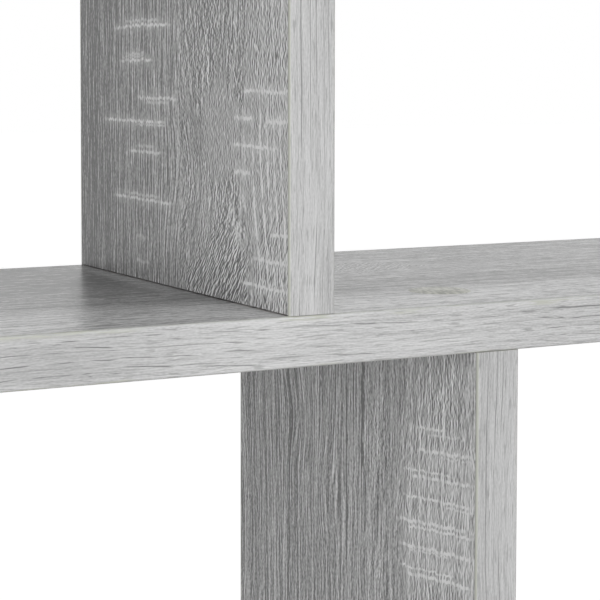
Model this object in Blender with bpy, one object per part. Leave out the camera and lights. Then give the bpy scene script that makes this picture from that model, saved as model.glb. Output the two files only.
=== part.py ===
"""A wall shelf of faced chipboard: an upper box and a lower box share one long middle board.

The boards are screwed together through the horizontal ones, and the long board carries an upright
above and an upright below its middle, set a hand's width apart so that both can take their screws.
Metres, +Z up, +Y towards the wall. The origin is the middle of the long board's back edge.
"""

import math

import bmesh
import bpy
from mathutils import Matrix, Vector

# Boards
BOARD_THICKNESS = 0.015
SHELF_DEPTH = 0.160
BOX_WIDTH = 0.400
UPRIGHT_GAP = 0.050
BOX_CLEAR_HEIGHT = 0.240

# Edging, a plastic strip glued round each board's visible edges
EDGING_THICKNESS = 0.0010
EDGING_CORNER = 0.0008
EDGING_END_TRIM = 0.0004
GLUE_LINE = 0.0002
RESTING_GAP = 0.0003

# Assembly screws, with a hexagon socket and a coarse thread
SCREW_LENGTH = 0.050
SCREW_INSET = 0.033
SCREW_HEAD_RADIUS = 0.0050
SCREW_HEAD_RIM = 0.0010
SCREW_HEAD_SINK = 0.0005
SCREW_NECK_RADIUS = 0.0033
SCREW_THREAD_RADIUS = 0.0031
SCREW_CORE_RADIUS = 0.0022
SCREW_THREAD_PITCH = 0.0045
SCREW_TIP_LENGTH = 0.0030
SCREW_TIP_RADIUS = 0.0008
SCREW_SOCKET_ACROSS_FLATS = 0.0040
SCREW_SOCKET_DEPTH = 0.0025
HOLE_CLEARANCE = 0.0003

# Round stickers over the screw heads
STICKER_RADIUS = 0.0100
STICKER_THICKNESS = 0.00015
STICKER_GLUE = 0.00005
STICKER_EDGE_MARGIN = 0.0010

# Keyhole hangers, let into the uprights' back edges
HANGER_WIDTH = 0.012
HANGER_HEIGHT = 0.044
HANGER_THICKNESS = 0.0015
HANGER_BELOW_TOP = 0.035
HANGER_RECESS_SINK = 0.0001
HANGER_SCREW_FROM_END = 0.005
KEYHOLE_RADIUS = 0.0045
KEYHOLE_SLOT_WIDTH = 0.0046
KEYHOLE_SLOT_RISE = 0.0090
KEYHOLE_POCKET_DEPTH = 0.0070
KEYHOLE_POCKET_MARGIN = 0.0006

# Countersunk wood screws that hold the hangers
WOOD_SCREW_LENGTH = 0.016
WOOD_SCREW_HEAD_RADIUS = 0.0029
WOOD_SCREW_RADIUS = 0.0015
WOOD_SCREW_CORE_RADIUS = 0.0010
WOOD_SCREW_PITCH = 0.0022
WOOD_SCREW_TIP_LENGTH = 0.0020
WOOD_SCREW_TIP_RADIUS = 0.0003
WOOD_SCREW_SLOT_WIDTH = 0.0007
WOOD_SCREW_SLOT_DEPTH = 0.0006

# Fineness of the round shapes
SOCKET_SIDES = 6
SCREW_SIDES = 2 * SOCKET_SIDES
STICKER_SIDES = 32
HANGER_END_SIDES = 10
EDGING_CORNER_STEPS = 3
SHARP_FROM = math.radians(35)
CUT_OVERRUN = 0.002

# Worked out from the driving sizes
SHELF_WIDTH = 2 * BOX_WIDTH + UPRIGHT_GAP
TIER_PITCH = BOARD_THICKNESS + BOX_CLEAR_HEIGHT
CORE_SETBACK = EDGING_THICKNESS + GLUE_LINE
BOX_CENTRE_X = (SHELF_WIDTH - BOX_WIDTH) / 2
OUTER_UPRIGHT_X = (SHELF_WIDTH - BOARD_THICKNESS) / 2
INNER_UPRIGHT_X = (UPRIGHT_GAP + BOARD_THICKNESS) / 2
UPRIGHT_Z = TIER_PITCH / 2
MID_DEPTH_Y = -SHELF_DEPTH / 2
FRONT_SCREW_Y = -SHELF_DEPTH + SCREW_INSET
BACK_SCREW_Y = -SCREW_INSET
HANGER_RECESS_DEPTH = HANGER_THICKNESS + HANGER_RECESS_SINK + RESTING_GAP
HANGER_SCREW_REACH = HANGER_HEIGHT / 2 - HANGER_SCREW_FROM_END

BOARD_GREY = (0.30, 0.30, 0.30, 1.0)
EDGING_GREY = (0.52, 0.52, 0.51, 1.0)
STICKER_GREY = (0.42, 0.42, 0.38, 1.0)
ZINC_GREY = (0.62, 0.62, 0.60, 1.0)


def clear_scene():
    """Removes the objects that the scene starts with."""
    for thing in list(bpy.data.objects):
        bpy.data.objects.remove(thing, do_unlink=True)


def principled(name, colour, roughness, metallic=0.0):
    """A Principled material in one colour."""
    made = bpy.data.materials.new(name)
    made.use_nodes = True
    shader = made.node_tree.nodes["Principled BSDF"]
    shader.inputs["Base Color"].default_value = colour
    shader.inputs["Roughness"].default_value = roughness
    shader.inputs["Metallic"].default_value = metallic
    made.diffuse_color = colour
    return made


def place(name, mesh, material, parent, location, turn=None):
    """An object on the mesh, at a place under its parent, turned by a rotation matrix."""
    thing = bpy.data.objects.new(name, mesh)
    bpy.context.scene.collection.objects.link(thing)
    if not mesh.materials:
        mesh.materials.append(material)
    thing.parent = parent
    thing.location = location
    if turn is not None:
        thing.rotation_euler = turn.to_euler()
    return thing


def mesh_from(bm, name):
    """Turns the bmesh into a mesh whose faces point outwards, smooth where it is round."""
    bmesh.ops.recalc_face_normals(bm, faces=bm.faces)
    mesh = bpy.data.meshes.new(name)
    bm.to_mesh(mesh)
    bm.free()
    mesh.shade_smooth()
    mesh.set_sharp_from_angle(angle=SHARP_FROM)
    return mesh


def block(bm, low, high):
    """Adds a box between two corners and returns its vertices."""
    made = bmesh.ops.create_cube(bm, size=1.0)["verts"]
    size = [b - a for a, b in zip(low, high)]
    centre = [(a + b) / 2 for a, b in zip(low, high)]
    bmesh.ops.scale(bm, vec=size, verts=made)
    bmesh.ops.translate(bm, vec=centre, verts=made)
    return made


def ring(bm, radius, height, sides):
    """A ring of vertices round Z at a height."""
    points = []
    for k in range(sides):
        angle = 2 * math.pi * (k + 0.5) / sides
        points.append(bm.verts.new((radius * math.cos(angle), radius * math.sin(angle), height)))
    return points


def join_rings(bm, first, second):
    """Walls between two rings of the same number of sides."""
    count = len(first)
    for k in range(count):
        after = (k + 1) % count
        bm.faces.new((first[k], first[after], second[after], second[k]))


def turned(bm, profile, sides):
    """A closed body turned round Z from (radius, height) pairs, first to last, with flat ends."""
    rings = [ring(bm, radius, height, sides) for radius, height in profile]
    for one, following in zip(rings, rings[1:]):
        join_rings(bm, one, following)
    bm.faces.new(rings[0])
    bm.faces.new(rings[-1])
    return rings


def cut(target, cutter, name):
    """Cuts the cutter out of the target, and keeps it as a hidden helper."""
    modifier = target.modifiers.new(name, "BOOLEAN")
    modifier.operation = "DIFFERENCE"
    modifier.solver = "EXACT"
    modifier.object = cutter
    cutter.hide_render = True
    cutter.display_type = "WIRE"


class Placement:
    """Where one screw goes: the point on the board's outer face, and the way that it is driven."""

    def __init__(self, name, point, drives_down):
        self.name = name
        self.point = Vector(point)
        self.drives_down = drives_down

    def turn(self):
        """The screw is modelled pointing down, and turned over where it is driven up."""
        return Matrix.Identity(3) if self.drives_down else Matrix.Rotation(math.pi, 3, "X")


def thread(profile, start, end, crest, root, pitch):
    """Adds a coarse thread's ridges to a turned profile, from start down to end."""
    turns = int((start - end) / pitch)
    for k in range(turns):
        top = start - k * pitch
        profile.append((root, top))
        profile.append((root, top - pitch / 2))
        profile.append((crest, top - pitch * 3 / 4))
    profile.append((root, start - turns * pitch))


def assembly_screw_mesh():
    """A screw whose head's flat top is at the origin, pointing down -Z."""
    neck_top = -(SCREW_HEAD_RIM + SCREW_HEAD_RADIUS - SCREW_NECK_RADIUS)
    neck_end = -BOARD_THICKNESS
    tip_start = -SCREW_LENGTH + SCREW_TIP_LENGTH
    profile = [
        (SCREW_HEAD_RADIUS, 0.0),
        (SCREW_HEAD_RADIUS, -SCREW_HEAD_RIM),
        (SCREW_NECK_RADIUS, neck_top),
        (SCREW_NECK_RADIUS, neck_end),
    ]
    thread(
        profile,
        neck_end - (SCREW_NECK_RADIUS - SCREW_CORE_RADIUS),
        tip_start,
        SCREW_THREAD_RADIUS,
        SCREW_CORE_RADIUS,
        SCREW_THREAD_PITCH,
    )
    profile.append((SCREW_TIP_RADIUS, -SCREW_LENGTH))
    bm = bmesh.new()
    rings = turned(bm, profile, SCREW_SIDES)
    socket_into(bm, rings[0])
    return mesh_from(bm, "assembly_screw")


def socket_into(bm, head_ring):
    """Sinks the hexagon socket into the flat top of the head."""
    top = next(face for face in bm.faces if set(face.verts) == set(head_ring))
    bm.faces.remove(top)
    radius = SCREW_SOCKET_ACROSS_FLATS / 2 / math.cos(math.pi / SOCKET_SIDES)
    mouth = ring(bm, radius, 0.0, SOCKET_SIDES)
    floor = ring(bm, radius, -SCREW_SOCKET_DEPTH, SOCKET_SIDES)
    join_rings(bm, mouth, floor)
    bm.faces.new(floor)
    per_side = len(head_ring) // SOCKET_SIDES
    for k in range(SOCKET_SIDES):
        after = (k + 1) % SOCKET_SIDES
        rim = [head_ring[(k * per_side + step) % len(head_ring)] for step in range(per_side + 1)]
        bm.faces.new([mouth[k], *rim, mouth[after]])


def assembly_hole_mesh():
    """The cutter for one assembly screw: countersink, neck hole and the hole in the upright's end."""
    sunk = SCREW_HEAD_SINK + SCREW_HEAD_RIM + HOLE_CLEARANCE
    head = SCREW_HEAD_RADIUS + HOLE_CLEARANCE
    neck = SCREW_NECK_RADIUS + HOLE_CLEARANCE
    profile = [
        (head, CUT_OVERRUN),
        (head, -sunk),
        (neck, -(sunk + head - neck)),
        (neck, -(SCREW_LENGTH + SCREW_HEAD_SINK + HOLE_CLEARANCE)),
    ]
    bm = bmesh.new()
    turned(bm, profile, SCREW_SIDES)
    return mesh_from(bm, "assembly_hole")


def sticker_mesh():
    """A thin round sticker whose underside is at the origin's height."""
    profile = [(STICKER_RADIUS, 0.0), (STICKER_RADIUS, STICKER_THICKNESS)]
    bm = bmesh.new()
    turned(bm, profile, STICKER_SIDES)
    return mesh_from(bm, "cover_sticker")


def wood_screw_mesh():
    """A countersunk screw whose head's flat top is at the origin, pointing down -Z."""
    neck_top = -(WOOD_SCREW_HEAD_RADIUS - WOOD_SCREW_RADIUS)
    tip_start = -WOOD_SCREW_LENGTH + WOOD_SCREW_TIP_LENGTH
    profile = [(WOOD_SCREW_HEAD_RADIUS, 0.0), (WOOD_SCREW_RADIUS, neck_top)]
    thread(
        profile,
        neck_top - HANGER_THICKNESS,
        tip_start,
        WOOD_SCREW_RADIUS,
        WOOD_SCREW_CORE_RADIUS,
        WOOD_SCREW_PITCH,
    )
    profile.append((WOOD_SCREW_TIP_RADIUS, -WOOD_SCREW_LENGTH))
    bm = bmesh.new()
    turned(bm, profile, SCREW_SIDES)
    return mesh_from(bm, "wood_screw")


def cross_slot_mesh():
    """The cutter for the cross recess in a wood screw's head."""
    reach = WOOD_SCREW_HEAD_RADIUS * 0.6
    half = WOOD_SCREW_SLOT_WIDTH / 2
    bm = bmesh.new()
    outline = []
    for k in range(4):
        quarter = Matrix.Rotation(k * math.pi / 2, 3, "Z")
        for corner in ((half, half), (reach, half), (reach, -half)):
            x, y, _ = quarter @ Vector((corner[0], -corner[1], 0.0))
            outline.append((x, y))
    extruded(bm, outline_in_order(outline), -WOOD_SCREW_SLOT_DEPTH, CUT_OVERRUN)
    return mesh_from(bm, "cross_slot")


def outline_in_order(points):
    """The corners of a star-shaped outline, in order of angle round its centre."""
    return sorted(points, key=lambda p: math.atan2(p[1], p[0]))


def wood_screw_hole_mesh(depth_in_board):
    """The cutter for one wood screw in the hanger plate and the board behind it."""
    head = WOOD_SCREW_HEAD_RADIUS + HOLE_CLEARANCE
    neck = WOOD_SCREW_RADIUS + HOLE_CLEARANCE
    sunk = HANGER_RECESS_SINK + HOLE_CLEARANCE
    profile = [
        (head, CUT_OVERRUN),
        (head, -sunk),
        (neck, -(sunk + head - neck)),
        (neck, -depth_in_board),
    ]
    bm = bmesh.new()
    turned(bm, profile, SCREW_SIDES)
    return mesh_from(bm, "wood_screw_hole")


def stadium(width, height, sides):
    """The outline of an upright slot with round ends, as (x, z) points round its middle."""
    radius = width / 2
    points = []
    for end, start in ((1, 0.0), (-1, math.pi)):
        for k in range(sides + 1):
            angle = start + math.pi * k / sides
            centre = end * (height / 2 - radius)
            points.append((radius * math.cos(angle), centre + radius * math.sin(angle)))
    return points


def keyhole(radius, slot_width, rise, sides):
    """The outline of a keyhole as (x, z) points: a round hole at the origin and a slot above it."""
    half = slot_width / 2
    meet = math.asin(half / radius)
    points = []
    for k in range(2 * sides + 1):
        angle = math.pi / 2 + meet + (2 * math.pi - 2 * meet) * k / (2 * sides)
        points.append((radius * math.cos(angle), radius * math.sin(angle)))
    for k in range(sides + 1):
        angle = math.pi * k / sides
        points.append((half * math.cos(angle), rise + half * math.sin(angle)))
    return points


def extruded(bm, outline, low, high):
    """A closed prism on an outline of (x, y) points, from one height to another."""
    floor = [bm.verts.new((x, y, low)) for x, y in outline]
    roof = [bm.verts.new((x, y, high)) for x, y in outline]
    join_rings(bm, floor, roof)
    bm.faces.new(floor)
    bm.faces.new(roof)


def prism_mesh(outline, front, back, name):
    """A prism whose outline lies in XZ, from the depth front to the depth back along Y."""
    bm = bmesh.new()
    extruded(bm, outline, -back, -front)
    upright = Matrix.Rotation(math.pi / 2, 3, "X")
    bmesh.ops.rotate(bm, cent=(0, 0, 0), matrix=upright, verts=bm.verts)
    return mesh_from(bm, name)


def core_mesh(length, depth, thickness, name):
    """A board's chipboard core, lying flat round its own middle."""
    bm = bmesh.new()
    half = Vector((length / 2, depth / 2, thickness / 2))
    block(bm, -half, half)
    return mesh_from(bm, name)


def edging_mesh(length, width, name, end_radius):
    """One strip of edging along X, glued face at +Y and outer face at -Y, with its corners eased."""
    bm = bmesh.new()
    block(bm, (-length / 2, -EDGING_THICKNESS, -width / 2), (length / 2, 0.0, width / 2))
    outer = [e for e in bm.edges if all(v.co.y < -EDGING_THICKNESS / 2 for v in e.verts)]
    long_edges = [e for e in outer if abs(e.verts[0].co.x - e.verts[1].co.x) > length / 2]
    bmesh.ops.bevel(
        bm,
        geom=long_edges,
        offset=EDGING_CORNER,
        segments=EDGING_CORNER_STEPS,
        profile=0.5,
        affect="EDGES",
    )
    if end_radius:
        ease_ends(bm, length, end_radius)
    return mesh_from(bm, name)


def ease_ends(bm, length, amount):
    """Slopes the strip's two ends back from its outer face, as the trimming cutter leaves them."""
    for side in (-1, 1):
        tilt = Vector((side * EDGING_THICKNESS, -amount, 0.0)).normalized()
        bmesh.ops.bisect_plane(
            bm,
            geom=[*bm.verts, *bm.edges, *bm.faces],
            plane_co=(side * (length / 2 - amount), -EDGING_THICKNESS, 0.0),
            plane_no=tilt,
            clear_outer=True,
        )
        rim = [e for e in bm.edges if e.is_boundary]
        bmesh.ops.holes_fill(bm, edges=rim, sides=0)


class Board:
    """One faced chipboard board: its core and the strips of edging glued to it."""

    def __init__(self, name, length, centre, stands):
        self.name = name
        self.length = length
        self.centre = Vector(centre)
        self.stands = stands

    def turn(self):
        """A board is modelled lying along X, and stood on its end where it is an upright."""
        return Matrix.Rotation(-math.pi / 2, 3, "Y") if self.stands else Matrix.Identity(3)

    def build(self, root, board_material, edging_material):
        """Makes the core and its strips, and returns them as {name: object}."""
        along = self.length - (2 * RESTING_GAP if self.stands else 2 * CORE_SETBACK)
        deep = SHELF_DEPTH - 2 * CORE_SETBACK
        core = place(
            self.name,
            core_mesh(along, deep, BOARD_THICKNESS, self.name),
            board_material,
            root,
            self.centre,
            self.turn(),
        )
        made = {self.name: core}
        long_strip = self.length - (2 * RESTING_GAP if self.stands else 0.0)
        ends = EDGING_END_TRIM if self.stands else EDGING_CORNER
        for side, facing in (("front", 0.0), ("back", math.pi)):
            name = f"{self.name}_{side}_edging"
            strip = edging_mesh(long_strip, BOARD_THICKNESS, name, ends)
            made[name] = self.glue(name, strip, edging_material, root, facing, deep / 2)
        if not self.stands:
            for side, facing in (("left", -math.pi / 2), ("right", math.pi / 2)):
                name = f"{self.name}_{side}_edging"
                strip = edging_mesh(deep, BOARD_THICKNESS, name, 0.0)
                made[name] = self.glue(name, strip, edging_material, root, facing, along / 2)
        return made

    def glue(self, name, strip, material, root, facing, reach):
        """Sets a strip a glue line off the core, on the side that facing turns it to."""
        spin = self.turn() @ Matrix.Rotation(facing, 3, "Z")
        offset = spin @ Vector((0.0, -(reach + GLUE_LINE), 0.0))
        return place(name, strip, material, root, self.centre + offset, spin)


def boards():
    """The seven boards, named for their places."""
    return [
        Board("top_board", BOX_WIDTH, (-BOX_CENTRE_X, MID_DEPTH_Y, TIER_PITCH), False),
        Board("middle_board", SHELF_WIDTH, (0.0, MID_DEPTH_Y, 0.0), False),
        Board("bottom_board", BOX_WIDTH, (BOX_CENTRE_X, MID_DEPTH_Y, -TIER_PITCH), False),
        Board("upper_outer_upright", BOX_CLEAR_HEIGHT, (-OUTER_UPRIGHT_X, MID_DEPTH_Y, UPRIGHT_Z), True),
        Board("upper_inner_upright", BOX_CLEAR_HEIGHT, (-INNER_UPRIGHT_X, MID_DEPTH_Y, UPRIGHT_Z), True),
        Board("lower_inner_upright", BOX_CLEAR_HEIGHT, (INNER_UPRIGHT_X, MID_DEPTH_Y, -UPRIGHT_Z), True),
        Board("lower_outer_upright", BOX_CLEAR_HEIGHT, (OUTER_UPRIGHT_X, MID_DEPTH_Y, -UPRIGHT_Z), True),
    ]


def joint_screws(upright, upper_board, lower_board):
    """The four screws that hold one upright, with the boards that each passes through."""
    found = []
    for board, drives_down in ((upper_board, True), (lower_board, False)):
        face_z = board.centre.z + (BOARD_THICKNESS / 2 if drives_down else -BOARD_THICKNESS / 2)
        end = "top" if drives_down else "foot"
        for side, y in (("front", FRONT_SCREW_Y), ("back", BACK_SCREW_Y)):
            name = f"{upright.name.removesuffix('_upright')}_{end}_{side}"
            found.append((Placement(name, (upright.centre.x, y, face_z), drives_down), board))
    return found


def drive_screws(objects, placed, root, zinc):
    """Places the assembly screws and cuts their holes in both boards that each joins."""
    screw = assembly_screw_mesh()
    hole = assembly_hole_mesh()
    for where, board, upright in placed:
        into = where.turn() @ Vector((0.0, 0.0, -1.0))
        place(f"{where.name}_screw", screw, zinc, root, where.point + into * SCREW_HEAD_SINK, where.turn())
        cutter = place(f"{where.name}_screw_hole", hole, zinc, root, where.point, where.turn())
        cut(objects[board.name], cutter, f"{where.name}_hole")
        cut(objects[upright.name], cutter, f"{where.name}_hole")


def sticker_spot(where, board):
    """Over the screw head, but drawn in where the sticker would hang over the board's end."""
    reach = board.length / 2 - STICKER_RADIUS - STICKER_EDGE_MARGIN
    along = min(max(where.point.x - board.centre.x, -reach), reach)
    return Vector((board.centre.x + along, where.point.y, where.point.z + STICKER_GLUE))


def stick_stickers(placed, root, sticker_material):
    """Places a sticker over each screw head that faces up."""
    sticker = sticker_mesh()
    for where, board, _ in placed:
        if where.drives_down:
            spot = sticker_spot(where, board)
            place(f"{where.name}_sticker", sticker, sticker_material, root, spot)


def hanger_plate_mesh():
    """A steel plate with round ends, flat in XZ, its outer face at y = 0."""
    outline = stadium(HANGER_WIDTH, HANGER_HEIGHT, HANGER_END_SIDES)
    return prism_mesh(outline, -HANGER_THICKNESS, 0.0, "hanger_plate")


def set_hanger(label, upright, objects, root, zinc, wood_screw, cross_slot):
    """Lets one keyhole hanger and its two wood screws into an upright's back edge."""
    top = upright.centre.z + upright.length / 2
    centre = Vector((upright.centre.x, -HANGER_RECESS_SINK, top - HANGER_BELOW_TOP))
    plate = place(f"{label}_hanger", hanger_plate_mesh(), zinc, root, centre)
    keyhole_centre = centre - Vector((0.0, 0.0, KEYHOLE_SLOT_RISE / 2))
    opening = keyhole(KEYHOLE_RADIUS, KEYHOLE_SLOT_WIDTH, KEYHOLE_SLOT_RISE, HANGER_END_SIDES)
    through = prism_mesh(opening, -HANGER_THICKNESS - CUT_OVERRUN, CUT_OVERRUN, "keyhole")
    cut(plate, place(f"{label}_keyhole", through, zinc, root, keyhole_centre), "keyhole")
    recess_outline = stadium(
        HANGER_WIDTH + 2 * RESTING_GAP, HANGER_HEIGHT + 2 * RESTING_GAP, HANGER_END_SIDES
    )
    recess = prism_mesh(recess_outline, -HANGER_RECESS_DEPTH, CUT_OVERRUN, "hanger_recess")
    recess_place = Vector((centre.x, 0.0, centre.z))
    recess_cutter = place(f"{label}_recess", recess, zinc, root, recess_place)
    pocket_width = 2 * (KEYHOLE_RADIUS + KEYHOLE_POCKET_MARGIN)
    pocket_outline = stadium(pocket_width, pocket_width + KEYHOLE_SLOT_RISE, HANGER_END_SIDES)
    pocket_end = -(HANGER_RECESS_DEPTH + KEYHOLE_POCKET_DEPTH)
    pocket = prism_mesh(pocket_outline, pocket_end, -EDGING_THICKNESS, "keyhole_pocket")
    pocket_cutter = place(f"{label}_pocket", pocket, zinc, root, recess_place)
    back_strip = objects[f"{upright.name}_back_edging"]
    core = objects[upright.name]
    cut(back_strip, recess_cutter, "hanger_recess")
    cut(core, recess_cutter, "hanger_recess")
    cut(core, pocket_cutter, "keyhole_pocket")
    hole_depth = WOOD_SCREW_LENGTH + HANGER_RECESS_SINK + HOLE_CLEARANCE
    hole = wood_screw_hole_mesh(hole_depth)
    outwards = Matrix.Rotation(-math.pi / 2, 3, "X")
    for side, step in (("upper", 1), ("lower", -1)):
        spot = centre + Vector((0.0, 0.0, step * HANGER_SCREW_REACH))
        name = f"{label}_hanger_{side}_screw"
        screw = place(name, wood_screw, zinc, root, spot, outwards)
        cut(screw, place(f"{name}_slot", cross_slot, zinc, root, spot, outwards), "cross_slot")
        hole_cutter = place(f"{name}_hole", hole, zinc, root, Vector((spot.x, 0.0, spot.z)), outwards)
        cut(plate, hole_cutter, f"{side}_screw_hole")
        cut(core, hole_cutter, f"{side}_screw_hole")


def main():
    """Builds the whole shelf under one empty at the origin."""
    clear_scene()
    root = bpy.data.objects.new("wall_shelf", None)
    bpy.context.scene.collection.objects.link(root)
    board_material = principled("grey_oak_board", BOARD_GREY, 0.42)
    edging_material = principled("grey_oak_edging", EDGING_GREY, 0.40)
    sticker_material = principled("grey_oak_sticker", STICKER_GREY, 0.50)
    zinc = principled("zinc_plated_steel", ZINC_GREY, 0.35, 1.0)

    everything = {board.name: board for board in boards()}
    objects = {}
    for board in everything.values():
        objects.update(board.build(root, board_material, edging_material))

    placed = []
    for upright_name, upper_name, lower_name in (
        ("upper_outer_upright", "top_board", "middle_board"),
        ("upper_inner_upright", "top_board", "middle_board"),
        ("lower_inner_upright", "middle_board", "bottom_board"),
        ("lower_outer_upright", "middle_board", "bottom_board"),
    ):
        upright = everything[upright_name]
        for where, board in joint_screws(upright, everything[upper_name], everything[lower_name]):
            placed.append((where, board, upright))
    drive_screws(objects, placed, root, zinc)
    stick_stickers(placed, root, sticker_material)

    wood_screw = wood_screw_mesh()
    cross_slot = cross_slot_mesh()
    for label, upright_name in (
        ("left", "upper_outer_upright"),
        ("middle", "upper_inner_upright"),
        ("right", "lower_outer_upright"),
    ):
        set_hanger(label, everything[upright_name], objects, root, zinc, wood_screw, cross_slot)


main()
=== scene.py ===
"""Looks of a wall shelf: boards in a grey sawn-oak print, pale edging, cover stickers and zinc fittings.

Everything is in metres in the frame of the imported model: +X along the long board, +Y into the wall, +Z up.
"""

import logging
import math
from collections.abc import Callable, Sequence
from dataclasses import dataclass, field, replace
from enum import Enum
from functools import cache

import bmesh
import bpy
from bpy.types import ID, Material, Mesh, Node, NodeSocket, NodeTree, Object
from mathutils import Matrix, Vector


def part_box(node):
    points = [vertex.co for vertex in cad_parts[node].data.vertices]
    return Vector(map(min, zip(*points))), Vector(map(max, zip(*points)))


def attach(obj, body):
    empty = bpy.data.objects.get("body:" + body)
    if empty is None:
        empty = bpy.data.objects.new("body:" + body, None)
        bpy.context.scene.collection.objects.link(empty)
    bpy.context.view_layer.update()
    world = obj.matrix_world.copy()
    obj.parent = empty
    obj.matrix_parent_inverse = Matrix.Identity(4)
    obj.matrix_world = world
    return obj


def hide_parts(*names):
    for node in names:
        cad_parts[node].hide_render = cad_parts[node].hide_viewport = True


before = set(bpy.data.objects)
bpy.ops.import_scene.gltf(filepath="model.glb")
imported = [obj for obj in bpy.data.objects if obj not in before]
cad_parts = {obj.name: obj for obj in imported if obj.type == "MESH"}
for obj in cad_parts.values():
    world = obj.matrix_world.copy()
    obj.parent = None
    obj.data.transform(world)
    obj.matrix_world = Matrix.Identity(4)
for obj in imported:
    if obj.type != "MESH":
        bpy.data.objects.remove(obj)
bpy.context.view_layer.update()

MM = 0.001
ROOT_BODY = "root"
SHARP_FROM = math.radians(35)
SHELF_DEPTH = 160 * MM

# How fast a print changes through a board's thickness, so that its two faces differ
SLICES_PER_METRE = 200.0

STRIP_THICKNESS = 1.0 * MM
GLUE_DEPTH = 0.18 * MM

# How far an upright's strip reaches into the gap at each end, so that no dark gap shows under it
SEAM_FILL = 0.25 * MM

TURN_ATTRIBUTE = "turn"
DISC_ATTRIBUTE = "disc"
GIRTH_ATTRIBUTE = "girth"
STRIP_ATTRIBUTE = "strip"

Triple = tuple[float, float, float]
Colour = tuple[float, float, float, float]

VECTOR: Triple = (0.0, 0.0, 0.0)
EVEN: Triple = (1.0, 1.0, 1.0)
WHITE: Colour = (1.0, 1.0, 1.0, 1.0)

log = logging.getLogger("wall_shelf")


def grey(value: float) -> Colour:
    """A neutral colour of that linear value."""
    return (value, value, value, 1.0)


def middle(low: Vector, high: Vector) -> Vector:
    """The point halfway between two corners."""
    return (low + high) / 2


class Axis(Enum):
    """The way that a board's grain runs."""

    FLAT = "along X"
    UPRIGHT = "along Z"


class Side(Enum):
    """The board edge that a strip of edging is glued to, with the turn that brings the strip there."""

    FRONT = 0.0
    BACK = math.pi
    LEFT = -math.pi / 2
    RIGHT = math.pi / 2


def operator(operation: str, turned: bool = False) -> Callable[["Value", "Source"], "Value"]:
    """A method for one of Python's operators, which adds a Math node.

    Args:
        operation: The node's operation.
        turned: Whether the other value comes first.

    Returns:
        The method.
    """

    def method(self: "Value", other: "Source") -> "Value":
        """This and the other value as the node combines them."""
        return self.graph.math(operation, *((other, self) if turned else (self, other)))

    return method


class Value:
    """What a node puts out. Python's operators work on it by adding Math nodes to its graph."""

    __add__, __radd__ = operator("ADD"), operator("ADD", turned=True)
    __sub__, __rsub__ = operator("SUBTRACT"), operator("SUBTRACT", turned=True)
    __mul__, __rmul__ = operator("MULTIPLY"), operator("MULTIPLY", turned=True)
    __truediv__ = operator("DIVIDE")
    __pow__ = operator("POWER")

    def __init__(self, graph: "Graph", socket: NodeSocket) -> None:
        """Holds an output socket and the graph that its node is in."""
        self.graph, self.socket = graph, socket

    def __abs__(self) -> "Value":
        """This without its sign."""
        return self.graph.math("ABSOLUTE", self)

    def times_plus(self, factor: "Source", shift: "Source") -> "Value":
        """This times a factor plus a shift, in one node."""
        return self.graph.math("MULTIPLY_ADD", self, factor, shift)


Source = float | Sequence[float] | NodeSocket | Value


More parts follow.
